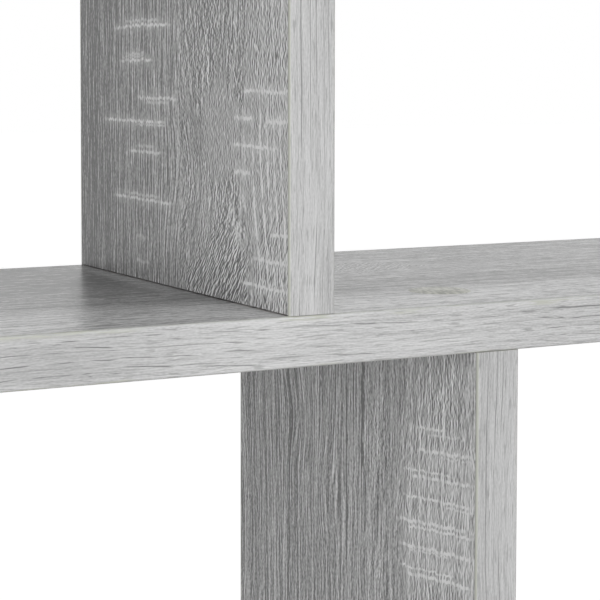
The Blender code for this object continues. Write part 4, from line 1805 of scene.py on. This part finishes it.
LOWER_INNER_FIGURE = Figure(
    weave_from=-0.088,
    weave_to=-0.098,
    weave=0.45,
    wander=3 * MM,
    peaks=(
        Peak(along=0.0, across=0.020, spread=0.020, length=0.090, core=0.010, reach=0.045),
    ),
    # Painted light, stronger towards the front edge of the face
    tone=(0.02, 0.17),
    contrast=(1.00, 0.62),
    strokes=(
        Strokes(along=-0.060, across=-0.138, length=0.060, width=0.024, contrast=1.10, shade=-0.02,
                fineness=1.35),
    ),
    bulges=(
        Bulge(along=-0.046, across=-0.046, shift=0.004, length=0.014, width=0.010),
        Bulge(along=-0.022, across=-0.012, shift=0.005, length=0.020, width=0.012),
        Bulge(along=-0.070, across=-0.066, shift=-0.003, length=0.016, width=0.008),
    ),
    marks=SawMark.rows(
        (-0.0352, -0.124, -0.144, 0.90, 0.7), (-0.0364, -0.130, -0.154, 0.60, 0.6),
        (-0.0418, -0.124, -0.160, 1.05, 0.9), (-0.0428, -0.136, -0.160, 0.75, 0.6),
        (-0.0495, -0.116, -0.148, 1.05, 0.6), (-0.0508, -0.119, -0.160, 1.05, 0.9),
        (-0.0578, -0.116, -0.160, 1.15, 0.7), (-0.0582, -0.141, -0.160, 0.80, 0.6),
        (-0.0452, -0.128, -0.160, 0.42, 3.4), (-0.0535, -0.122, -0.160, 0.42, 3.4),
        (-0.0612, -0.126, -0.160, 0.38, 3.4),
        slope=-0.09,
    ) + SawMark.rows(
        (-0.0661, -0.112, -0.156, 1.25, 0.9), (-0.0674, -0.118, -0.160, 1.25, 0.7),
        (-0.0742, -0.113, -0.160, 1.20, 0.9), (-0.0757, -0.120, -0.146, 0.90, 0.6),
        (-0.0818, -0.113, -0.150, 1.10, 0.6), (-0.0831, -0.117, -0.160, 1.20, 0.9),
        (-0.0700, -0.118, -0.160, 0.42, 3.6), (-0.0785, -0.120, -0.160, 0.38, 3.4),
        slope=-0.11,
    ),
    clusters=(
        SawCluster(first=-0.2100, last=-0.1000, across=-0.120, half_width=0.030, spacing=8 * MM, slope=-0.05,
                   seed=5.0),
    ),
    veins=(
        Veins(across=-0.025, half_width=0.022, low=-0.240, high=-0.006, spacing=8 * MM, thickness=2.4 * MM,
              run=0.10, cover=1.0, tone=-0.42),
    ),
    streaks=Streak.rows(
        (-0.0918, -0.059, 0.010, -0.90, 1.3), (-0.0940, -0.140, -0.052, -0.30, 1.6),
        (-0.1020, -0.080, -0.052, -0.60, 0.6), (-0.1065, -0.240, 0.010, -0.25, 3.5),
        (-0.0635, -0.044, -0.022, -0.40, 2.0), (-0.1220, -0.240, 0.010, 0.55, 0.9),
        (-0.1275, -0.240, 0.010, 0.50, 0.9), (-0.1330, -0.240, 0.010, 0.40, 0.9),
        (-0.1410, -0.240, 0.010, 0.55, 0.9), (-0.1460, -0.240, 0.010, 0.40, 0.9),
        (-0.1560, -0.240, 0.010, 0.30, 6.0),
    ),
    one_face_only=True,
)

MIDDLE_FIGURE = Figure(
    weave_from=-0.200,
    weave_to=-0.300,
    wander=3 * MM,
    tone=(0.07, 0.09),
    contrast=(1.00, 0.80),
    mottle=0.90,
    bulges=(
        Bulge(along=0.080, across=-0.050, shift=0.007, length=0.030, width=0.015),
        Bulge(along=-0.260, across=-0.100, shift=-0.010, length=0.040, width=0.020),
    ),
    strokes=(
        Strokes(along=0.040, across=-0.055, length=0.030, width=0.016, slope=0.8, contrast=0.9),
        Strokes(along=-0.020, across=-0.045, length=0.025, width=0.010, slope=-0.6, contrast=0.8),
    ),
    marks=SawMark.rows(
        (0.2300, -0.030, -0.075, 0.5, 1.0, 1.6), (0.2410, -0.035, -0.085, 0.5),
        (0.2530, -0.025, -0.070, 0.5, 1.0, -1.6), (-0.2300, -0.060, -0.100, 0.5, 1.0, 1.6),
        (-0.2420, -0.050, -0.095, 0.5), (-0.2530, -0.055, -0.105, 0.5, 1.0, -1.6),
    ),
    veins=(
        Veins(across=-0.080, half_width=0.090, low=-0.425, high=0.425, spacing=6.0 * MM, thickness=0.6 * MM,
              run=0.10, cover=0.7, tone=-0.22),
    ),
    streaks=Streak.rows(
        # The first two are painted light along the front of the top, and painted shade over its back, left of
        # the upper upright
        (-0.1460, -0.5, 0.5, 0.42, 32), (-0.0300, -0.5, -0.045, -0.85, 80), (-0.1030, -0.5, 0.5, -0.18, 22),
        (-0.1090, -0.5, 0.5, -0.55, 2.4), (-0.0985, -0.5, 0.5, -0.45, 2.0), (-0.0900, -0.5, 0.5, -0.40, 2.4),
        (-0.1160, -0.5, 0.5, -0.25, 1.5), (-0.0980, -0.1, 0.4, -0.20, 1.0),
    ),
)


def even_figure(low: float, high: float, seed: int) -> Figure:
    """A figure for a board that the view doesn't show: flames, saw marks and veins at places drawn by a rule.

    Args:
        low: The board's low end along the grain.
        high: Its high end.
        seed: Which of the places it takes.

    Returns:
        The figure.
    """
    length = high - low
    half_run = 0.035
    clusters_apart = 0.11

    def place(step: float) -> float:
        """A share of the length that steps round by the golden section."""
        return low + length * math.modf((seed + step) * 0.618)[0]

    return Figure(
        weave_from=-0.030 - 0.020 * (seed % 3),
        weave_to=-0.090 - 0.020 * (seed % 2),
        wander=5 * MM,
        bulges=(
            Bulge(along=place(0.3), across=-0.045, shift=0.009, length=0.035, width=0.020),
            Bulge(along=place(1.3), across=-0.110, shift=-0.010, length=0.030, width=0.018),
        ),
        peaks=(
            Peak(along=place(2.2), across=-0.060 - 0.012 * (seed % 4), spread=0.026, length=0.090, core=0.012,
                 reach=0.060),
        ),
        clusters=tuple(
            SawCluster(
                first=place(k * 0.77) - half_run,
                last=place(k * 0.77) + half_run,
                across=-0.030 - 0.100 * math.modf((seed + k) * 0.382)[0],
                half_width=0.020 + 0.004 * (k % 3),
                spacing=(7.6 + 1.2 * (k % 3)) * MM,
                slope=0.04 * (k % 3 - 1),
                strength=0.75,
                seed=float(seed * 10 + k),
            )
            for k in range(max(2, round(length / clusters_apart)))
        ),
        veins=(
            Veins(across=-0.080, half_width=0.090, low=low, high=high, spacing=6.5 * MM, thickness=0.5 * MM,
                  run=0.05, cover=0.45, tone=-0.18),
        ),
    )


def dress(node: str, material: Material) -> None:
    """Gives a CAD node its material.

    Args:
        node: The node's name.
        material: What its slots get.
    """
    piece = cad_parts[node]
    if not piece.material_slots:
        piece.data.materials.append(material)
    for slot in piece.material_slots:
        slot.material = material


@dataclass
class Boards:
    """The seven faced boards. Their CAD solids stay, and each gets its own stretch of the print.

    Attributes:
        finish: The facing.
        figures: The boards in the order of their seeds, each with its figure where the view shows its faces.
        slices_apart: How far apart two boards' slices of the print lie.
    """

    finish: SawnOak = field(default_factory=SawnOak)
    figures: dict[str, Figure | None] = field(
        default_factory=lambda: {
            "middle_board": MIDDLE_FIGURE,
            "upper_inner_upright": UPPER_INNER_FIGURE,
            "lower_inner_upright": LOWER_INNER_FIGURE,
            "top_board": None,
            "bottom_board": None,
            "upper_outer_upright": None,
            "lower_outer_upright": None,
        }
    )
    slices_apart: float = 12.0

    def build(self) -> None:
        """Dresses each board's CAD solid."""
        for number, (name, figure) in enumerate(self.figures.items()):
            low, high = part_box(name)
            centre, size = middle(low, high), high - low
            if name.endswith("_upright"):
                axis, through, thickness, ends = Axis.UPRIGHT, centre.x, size.x, (low.z, high.z)
            else:
                axis, through, thickness, ends = Axis.FLAT, centre.z, size.z, (low.x, high.x)
            dress(name, self.finish.build(f"sawn_oak_{name}", axis, through, number * self.slices_apart,
                                          figure or even_figure(*ends, number), thickness))
        log.info("boards: %d dressed", len(self.figures))


@dataclass
class Edging:
    """All strips of edging.

    Attributes:
        finish: Their plastic.
        upright_end: How round an upright's strips are trimmed at their ends.
        flat_end: The same for a horizontal board's front and back strips.
        stretch: How far apart two strips' stretches of the print lie.
    """

    finish: PaleEdging = field(default_factory=PaleEdging)
    upright_end: float = 0.1 * MM
    flat_end: float = 0.8 * MM
    stretch: float = 3.7

    def strips(self) -> list[EdgingStrip]:
        """Every strip, named for the CAD strip that it stands for."""
        found = []
        for board in Boards().figures:
            upright = board.endswith("_upright")
            for side in (Side.FRONT, Side.BACK) if upright else Side:
                seed = self.stretch * (len(found) + 1)
                name = f"{board}_{side.name.lower()}_edging"
                if upright:
                    found.append(EdgingStrip(name, side, Axis.UPRIGHT, self.upright_end, -seed))
                else:
                    ends = 0.0 if side in (Side.LEFT, Side.RIGHT) else self.flat_end
                    found.append(EdgingStrip(name, side, Axis.FLAT, ends, seed))
        return found

    def build(self) -> None:
        """Makes all strips."""
        material = self.finish.build()
        strips = self.strips()
        for strip in strips:
            own = material
            # The long board's front strip: a lighter copy of the edging, which is painted light, with its
            # print lines and veils of painted shade
            if strip.node == "middle_board_front_edging":
                own = replace(self.finish, name="pale_oak_edging_long", shadow=0.40, middle=0.575, light=0.70,
                              cover=0.25, origin=strip.seed, lines=FRONT_LINES_AND_PAINTED_SHADE, patches=FRONT_RAW).build()
            # The lower inner upright's front strip: a darker copy of the edging, which is painted shade
            elif strip.node == "lower_inner_upright_front_edging":
                own = replace(self.finish, name="pale_oak_edging_low", shadow=0.33, middle=0.485,
                              light=0.61).build()
            strip.build(own)
        log.info("edging: %d strips", len(strips))


@dataclass(frozen=True)
class CoverFoil:
    """The stickers' foil: a greenish grey oak print, softer than the boards' own.

    Attributes:
        shadow: The darkest colour of its print.
        light: Its lightest.
        roughness: How matt it is.
        gloss: How strongly it reflects.
        emboss: How deep the pressed grain is.
        slant: How far its streaks lean off its own axis.
    """

    shadow: Colour = (0.310, 0.313, 0.275, 1.0)
    light: Colour = (0.590, 0.594, 0.532, 1.0)
    roughness: float = 0.38
    gloss: float = 0.28
    emboss: float = 0.02 * MM
    slant: float = 0.5

    def build(self) -> Material:
        """Makes the material, which reads each sticker's own flat coordinates."""
        material, graph, shader = new_material("cover_foil")
        disc = graph.attribute(DISC_ATTRIBUTE)
        x, y, _ = graph.split(disc)
        _, _, spin = graph.split(graph.attribute(TURN_ATTRIBUTE))
        point = graph.join(x, x.times_plus(self.slant, y), spin * 3.0)
        streaks = graph.rock(point, (760.0, 170.0, 1.0), 4.4)
        bands = graph.rock(point, (170.0, 130.0, 1.0), 1.3)
        use = graph.apply(handling(), Point=disc, Amount=0.8)
        graph.wire(shader, {
            "Base Color": graph.ramp(0.5 + streaks + bands, ((0.0, self.shadow), (1.0, self.light))),
            "Roughness": self.roughness + use["Polish"] * 0.1,
            "Specular IOR Level": self.gloss,
            "Normal": graph.bump(streaks, self.emboss, 0.4),
        })
        return material


@dataclass
class CoverStickers:
    """The sixteen round stickers that hide the assembly screws' heads.

    Attributes:
        finish: Their foil.
        radius: Theirs.
        thickness: Theirs.
        glue: How far their glue reaches down.
        rim: How far the rim slants in.
        sides: How many facets the rim has.
        edge_margin: How far a sticker stays off a board's end.
        under_gap: How far a sticker on an underside stays off its board.
        turns: The first sticker's turn, and what each one after it adds.
        under_turns: The same for the undersides.
    """

    finish: CoverFoil = field(default_factory=CoverFoil)
    radius: float = 10.0 * MM
    thickness: float = 0.19 * MM
    glue: float = 0.04 * MM
    rim: float = 0.9 * MM
    sides: int = 64
    edge_margin: float = 1.0 * MM
    under_gap: float = 0.01 * MM
    turns: tuple[float, float] = (-1.2, 0.9)
    under_turns: tuple[float, float] = (0.5, 1.1)

    def stamps(self) -> list[Stamp]:
        """Where each sticker lies: on the nodes' places above, and on the screws below."""
        found = []
        first, step = self.turns
        for number, name in enumerate(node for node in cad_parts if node.endswith("_sticker")):
            low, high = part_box(name)
            centre = middle(low, high)
            found.append(Stamp((centre.x, centre.y, low.z - self.glue), (0.0, 0.0, first + step * number)))
        first, step = self.under_turns
        reach = self.radius + self.edge_margin
        for number, name in enumerate(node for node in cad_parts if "_foot_" in node):
            centre = middle(*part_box(name))
            low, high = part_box("middle_board" if name.startswith("upper") else "bottom_board")
            x = min(max(centre.x, low.x + reach), high.x - reach)
            place = (x, centre.y, low.z - self.under_gap)
            found.append(Stamp(place, (math.pi, 0.0, first + step * number)))
        return found

    def build(self) -> None:
        """Makes all stickers as one piece in the place of the CAD ones."""
        stamps = self.stamps()
        piece = grow("cover_stickers", stamps, sticker_tree(), Radius=self.radius, Thickness=self.thickness,
                     Rim=self.rim, Sides=self.sides, Material=self.finish.build())
        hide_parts(*[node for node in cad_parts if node.endswith("_sticker")])
        log.info("stickers: %d", len(stamps))


@dataclass(frozen=True)
class Zinc:
    """Zinc-plated steel, with the grain that its making left, fine scratches and a faint bloom.

    Attributes:
        name: The material's name.
        base: The plating's colour.
        bloom: Its colour where it has dulled.
        roughness: How rough it is.
        grain: How many grain lines there are to a metre along each axis.
        scratch: How deep the grain is.
    """

    name: str
    base: Colour = (0.52, 0.53, 0.53, 1.0)
    bloom: Colour = (0.36, 0.37, 0.39, 1.0)
    roughness: float = 0.30
    grain: Triple = (2600.0, 300.0, 90.0)
    scratch: float = 0.01 * MM

    def build(self) -> Material:
        """Makes the material."""
        material, graph, shader = new_material(self.name)
        point = graph.node("ShaderNodeTexCoord").outputs["Object"]
        grain = graph.noise(point, self.grain, 2.0, 0.6)
        flake, _, _ = graph.split(graph.cells(point, (420.0, 420.0, 420.0))["Color"])
        cloud = graph.noise(point, (130.0, 130.0, 130.0), 2.0)
        dulled = graph.ease(cloud + graph.sway(flake, 0.25), 0.42, 0.72)
        use = graph.apply(handling(), Point=point)
        graph.wire(shader, {
            "Base Color": graph.tint(dulled, self.base, self.bloom),
            "Metallic": 1.0,
            "Roughness": self.roughness + graph.sway(grain, 0.28) + dulled * 0.14 + use["Polish"] * 0.15,
            "Normal": graph.bump(grain, self.scratch, 0.5),
        })
        return material


# How far a hexagon's corners lie from its middle, where it is 1 wide from side to side
HEXAGON_REACH = 1 / math.sqrt(3)


class Drive(Enum):
    """The recess in a screw's head, by its corners in the head's plane, for a size of 1."""

    HEXAGON = tuple((HEXAGON_REACH * math.cos(math.pi * k / 3), HEXAGON_REACH * math.sin(math.pi * k / 3))
                    for k in range(6))
    CROSS = (
        (0.50, 0.10), (0.10, 0.10), (0.10, 0.50), (-0.10, 0.50), (-0.10, 0.10), (-0.50, 0.10),
        (-0.50, -0.10), (-0.10, -0.10), (-0.10, -0.50), (0.10, -0.50), (0.10, -0.10), (0.50, -0.10),
    )


@dataclass(frozen=True)
class Screw:
    """A kind of screw, with its head's face at height 0 and its tip below.

    Attributes:
        name: The piece's name.
        profile: Its rings, as radius and height in millimetres, from the head down.
        core: The thread's core radius.
        crest: How far the thread stands out of it.
        pitch: The thread's.
        thread_start: Where the thread begins, at its lower end.
        thread_length: How long it is.
        drive: The recess in its head.
        drive_size: How wide that is.
        drive_depth: How deep.
        sides: How many facets it has.
        finish: Its plating.
        drive_overshoot: How far the recess's cutter stands out of the head.
        drive_taper: How much narrower the recess is at its bottom.
    """

    name: str
    profile: tuple[tuple[float, float], ...]
    core: float
    crest: float
    pitch: float
    thread_start: float
    thread_length: float
    drive: Drive
    drive_size: float
    drive_depth: float
    sides: int
    finish: Zinc
    drive_overshoot: float = 0.5 * MM
    drive_taper: float = 0.85

    def profile_object(self) -> Object:
        """The helper that holds the rings, each as a vertex with its girth."""
        mesh = bpy.data.meshes.new(f"{self.name}_profile")
        edges = [(k, k + 1) for k in range(len(self.profile) - 1)]
        mesh.from_pydata([(0.0, 0.0, z * MM) for _, z in self.profile], edges, [])
        girths = mesh.attributes.new(GIRTH_ATTRIBUTE, "FLOAT", "POINT")
        for value, (radius, _) in zip(girths.data, self.profile):
            value.value = radius * MM
        return add_piece(f"{self.name}_profile", mesh)

    def recess_object(self) -> Object:
        """The helper that is cut out of the head."""
        rings = [
            [(x * size, y * size, z) for x, y in self.drive.value]
            for z, size in ((self.drive_overshoot, self.drive_size),
                            (-self.drive_depth, self.drive_size * self.drive_taper))
        ]
        return add_piece(f"{self.name}_recess", prism(f"{self.name}_recess", rings))

    def build(self, stamps: dict[str, Stamp]) -> None:
        """Makes all screws of the kind as one piece in the place of the CAD ones.

        Args:
            stamps: Where each goes, by the CAD screw's name.
        """
        helpers = [self.profile_object(), self.recess_object()]
        piece = grow(
            self.name, list(stamps.values()), screw_tree(), Profile=helpers[0], Recess=helpers[1],
            Sides=self.sides, Core_Radius=self.core, Crest=self.crest, Pitch=self.pitch,
            Thread_Start=self.thread_start, Thread_Length=self.thread_length, Material=self.finish.build(),
        )
        for helper in helpers:
            bpy.data.objects.remove(helper)
        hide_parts(*stamps)
        log.info("%s: %d", self.name, len(stamps))


ASSEMBLY_SCREW = Screw(
    name="assembly_screws",
    profile=((4.7, 0.0), (5.0, -0.3), (5.0, -1.0), (3.3, -2.7), (3.3, -9.0), (2.2, -10.1), (2.2, -47.0),
             (1.6, -48.5), (0.8, -50.0)),
    core=2.15 * MM,
    crest=0.95 * MM,
    pitch=4.5 * MM,
    thread_start=-47.5 * MM,
    thread_length=37.0 * MM,
    drive=Drive.HEXAGON,
    drive_size=4.0 * MM,
    drive_depth=2.5 * MM,
    sides=24,
    finish=Zinc("zinc_screws", grain=(900.0, 900.0, 5000.0)),
)

WOOD_SCREW = Screw(
    name="hanger_screws",
    profile=((2.75, 0.0), (2.9, -0.12), (2.9, -0.2), (1.5, -1.6), (1.5, -3.2), (1.0, -3.8), (1.0, -14.0),
             (0.3, -16.0)),
    core=1.0 * MM,
    crest=0.5 * MM,
    pitch=2.2 * MM,
    thread_start=-14.2 * MM,
    thread_length=10.5 * MM,
    drive=Drive.CROSS,
    drive_size=3.6 * MM,
    drive_depth=0.9 * MM,
    sides=32,
    finish=Zinc("zinc_hanger_screws", grain=(2500.0, 2500.0, 2500.0)),
)


@dataclass
class Fittings:
    """The screws and the keyhole hangers.

    Attributes:
        plate: The hangers' finish.
        assembly_twist: How much further each assembly screw is driven than the one before, in radians.
        wood_twist: The same for the hangers' screws.
        first_wood_twist: How far the first of those is driven.
    """

    plate: Zinc = field(default_factory=lambda: Zinc("zinc_hangers", roughness=0.34))
    assembly_twist: float = 0.7
    wood_twist: float = 0.8
    first_wood_twist: float = 0.4

    def stamp(self, node: str, twist: float) -> Stamp:
        """Where a screw goes: a hanger's with its head to the wall, and else up, or down in a foot.

        Args:
            node: The CAD screw's name.
            twist: How far it is driven.

        Returns:
            Its stamp.
        """
        low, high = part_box(node)
        centre = middle(low, high)
        if "_hanger_" in node:
            return Stamp((centre.x, high.y, centre.z), (-math.pi / 2, twist, 0.0))
        if "_foot_" in node:
            return Stamp((centre.x, centre.y, low.z), (math.pi, 0.0, twist))
        return Stamp((centre.x, centre.y, high.z), (0.0, 0.0, twist))

    def build(self) -> None:
        """Makes the screws and dresses the hangers."""
        wood = [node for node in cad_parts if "_hanger_" in node]
        assembly = [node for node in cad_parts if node.endswith("_screw") and node not in wood]
        ASSEMBLY_SCREW.build({node: self.stamp(node, self.assembly_twist * k)
                              for k, node in enumerate(assembly)})
        WOOD_SCREW.build({node: self.stamp(node, self.first_wood_twist + self.wood_twist * k)
                          for k, node in enumerate(wood)})
        plate = self.plate.build()
        hangers = [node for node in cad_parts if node.endswith("_hanger")]
        for node in hangers:
            dress(node, plate)
        log.info("hangers: %d dressed", len(hangers))


@dataclass(frozen=True)
class Lamp:
    """A soft square lamp.

    Attributes:
        name: Its name.
        place: Where it hangs.
        aim: What it points at.
        size: The length of its side.
        watts: Its power.
    """

    name: str
    place: Triple
    aim: Triple
    size: float
    watts: float

    def build(self) -> None:
        """Makes the lamp."""
        data = bpy.data.lights.new(self.name, "AREA")
        data.size = self.size
        data.energy = self.watts
        lamp = add_piece(self.name, data)
        lamp.location = self.place
        lamp.rotation_euler = (Vector(self.aim) - Vector(self.place)).to_track_quat("-Z", "Y").to_euler()


@dataclass
class Studio:
    """The pale floor, the soft light and the camera.

    Attributes:
        floor_height: How far below the long board the floor lies.
        floor_size: The length of its side.
        floor_grey: How light it is to the lamps.
        floor_glow: How much it shines by itself to the eye.
        sky: How bright the world is for diffuse light, away from the front.
        front_sky: How much brighter it is straight in front.
        overhead_share: How much of that is left straight above.
        back_sky: How much brighter it is straight behind.
        lamps: The soft lamps.
        eye: Where the camera stands.
        yaw: How far it is turned from +Y towards +X, in degrees.
        pitch: How far it looks down, in degrees.
        sensor: How wide its sensor is, in millimetres.
        lens: Its focal length in millimetres.
        shift: How far its frame is shifted, as a share of its width.
        reach: The nearest and the farthest that it sees.
    """

    floor_height: float = -0.95
    floor_size: float = 60.0
    floor_grey: float = 0.60
    floor_glow: float = 0.82
    sky: float = 0.16
    front_sky: float = 0.30
    overhead_share: float = 0.3
    back_sky: float = 0.55
    lamps: tuple[Lamp, ...] = (
        Lamp("key", (0.42, -2.0, 1.2), (0.0, -0.1, 0.0), 1.4, 23.0),
        Lamp("fill", (-1.20, -1.15, 0.15), (0.0, -0.1, 0.0), 1.0, 12.6),
    )
    eye: Triple = (-0.28242, -0.60770, 0.07619)
    yaw: float = 27.225
    pitch: float = 3.324
    sensor: float = 36.0
    lens: float = 107.54
    shift: tuple[float, float] = (0.08, -0.20)
    reach: tuple[float, float] = (0.01, 200.0)

    def build(self) -> None:
        """Makes the camera, the world, the floor and the lamps."""
        self.camera()
        self.world()
        self.floor()
        for lamp in self.lamps:
            lamp.build()
        bpy.context.scene.view_settings.view_transform = "Standard"
        log.info("studio: camera, floor and %d lamps", len(self.lamps))

    def camera(self) -> None:
        """Makes the camera that sees what the photograph's did."""
        data = bpy.data.cameras.new("photo_camera")
        data.sensor_width = self.sensor
        data.lens = self.lens
        data.shift_x, data.shift_y = self.shift
        data.clip_start, data.clip_end = self.reach
        camera = add_piece("photo_camera", data)
        camera.location = self.eye
        camera.rotation_euler = (math.radians(90.0 - self.pitch), 0.0, math.radians(-self.yaw))
        bpy.context.scene.camera = camera

    def seen(self, graph: Graph) -> Value:
        """Whether a ray comes from the camera, a reflection or through glass."""
        path = graph.node("ShaderNodeLightPath").outputs
        reflected = graph.math("MAXIMUM", path["Is Glossy Ray"], path["Is Transmission Ray"])
        return graph.math("MAXIMUM", path["Is Camera Ray"], reflected)

    def world(self) -> None:
        """Makes a world that looks white and lights the object a little more from the front."""
        world = bpy.data.worlds.new("studio_world")
        world.use_nodes = True
        bpy.context.scene.world = world
        world.node_tree.nodes.clear()
        graph = Graph(world.node_tree)
        _, forward, up = graph.split(graph.node("ShaderNodeTexCoord").outputs["Generated"])
        facing = graph.math("MAXIMUM", forward * -1.0, 0.0)
        behind = graph.math("MAXIMUM", forward, 0.0) * self.back_sky
        front = facing * graph.ease(up, 0.2, 1.0, 1.0, self.overhead_share) * self.front_sky
        light, backdrop = (
            graph.wire(graph.node("ShaderNodeBackground"), {"Color": WHITE, "Strength": strength})
            for strength in (front + behind + self.sky, 1.0)
        )
        self.join_shaders(graph, self.seen(graph), light, backdrop, graph.node("ShaderNodeOutputWorld"))

    def join_shaders(self, graph: Graph, factor: Source, first: Value, second: Value, output: Node) -> None:
        """Mixes two shaders, the second by that factor, into an output's surface."""
        mixed = graph.wire(graph.node("ShaderNodeMixShader"), {0: factor, 1: first, 2: second})
        graph.feed(output.inputs[0], mixed)

    def floor(self) -> None:
        """Makes the floor: white to the eye but for the object's soft shadow, and clear from below."""
        material, graph, shader = new_material("studio_floor")
        nodes = material.node_tree.nodes
        nodes.remove(shader)
        plain = graph.wire(graph.node("ShaderNodeBsdfDiffuse"), {"Color": grey(self.floor_grey)})
        glow = graph.wire(graph.node("ShaderNodeEmission"),
                          {"Color": WHITE, "Strength": self.seen(graph) * self.floor_glow})
        lit = graph.wire(graph.node("ShaderNodeAddShader"), {0: plain, 1: glow})
        clear = Value(graph, graph.node("ShaderNodeBsdfTransparent").outputs[0])
        underneath = graph.node("ShaderNodeNewGeometry").outputs["Backfacing"]
        self.join_shaders(graph, underneath, lit, clear, nodes["Material Output"])
        half = self.floor_size / 2
        corners = ((-half, -half), (half, -half), (half, half), (-half, half))
        mesh = bpy.data.meshes.new("studio_floor")
        mesh.from_pydata([(x, y, self.floor_height) for x, y in corners], [], [(0, 1, 2, 3)])
        add_piece("studio_floor", mesh, material)


def main() -> None:
    """Builds the looks piece by piece."""
    logging.basicConfig(level=logging.INFO, format="%(name)s %(message)s")
    Studio().build()
    Boards().build()
    Edging().build()
    CoverStickers().build()
    Fittings().build()


if __name__ == "__main__":
    main()
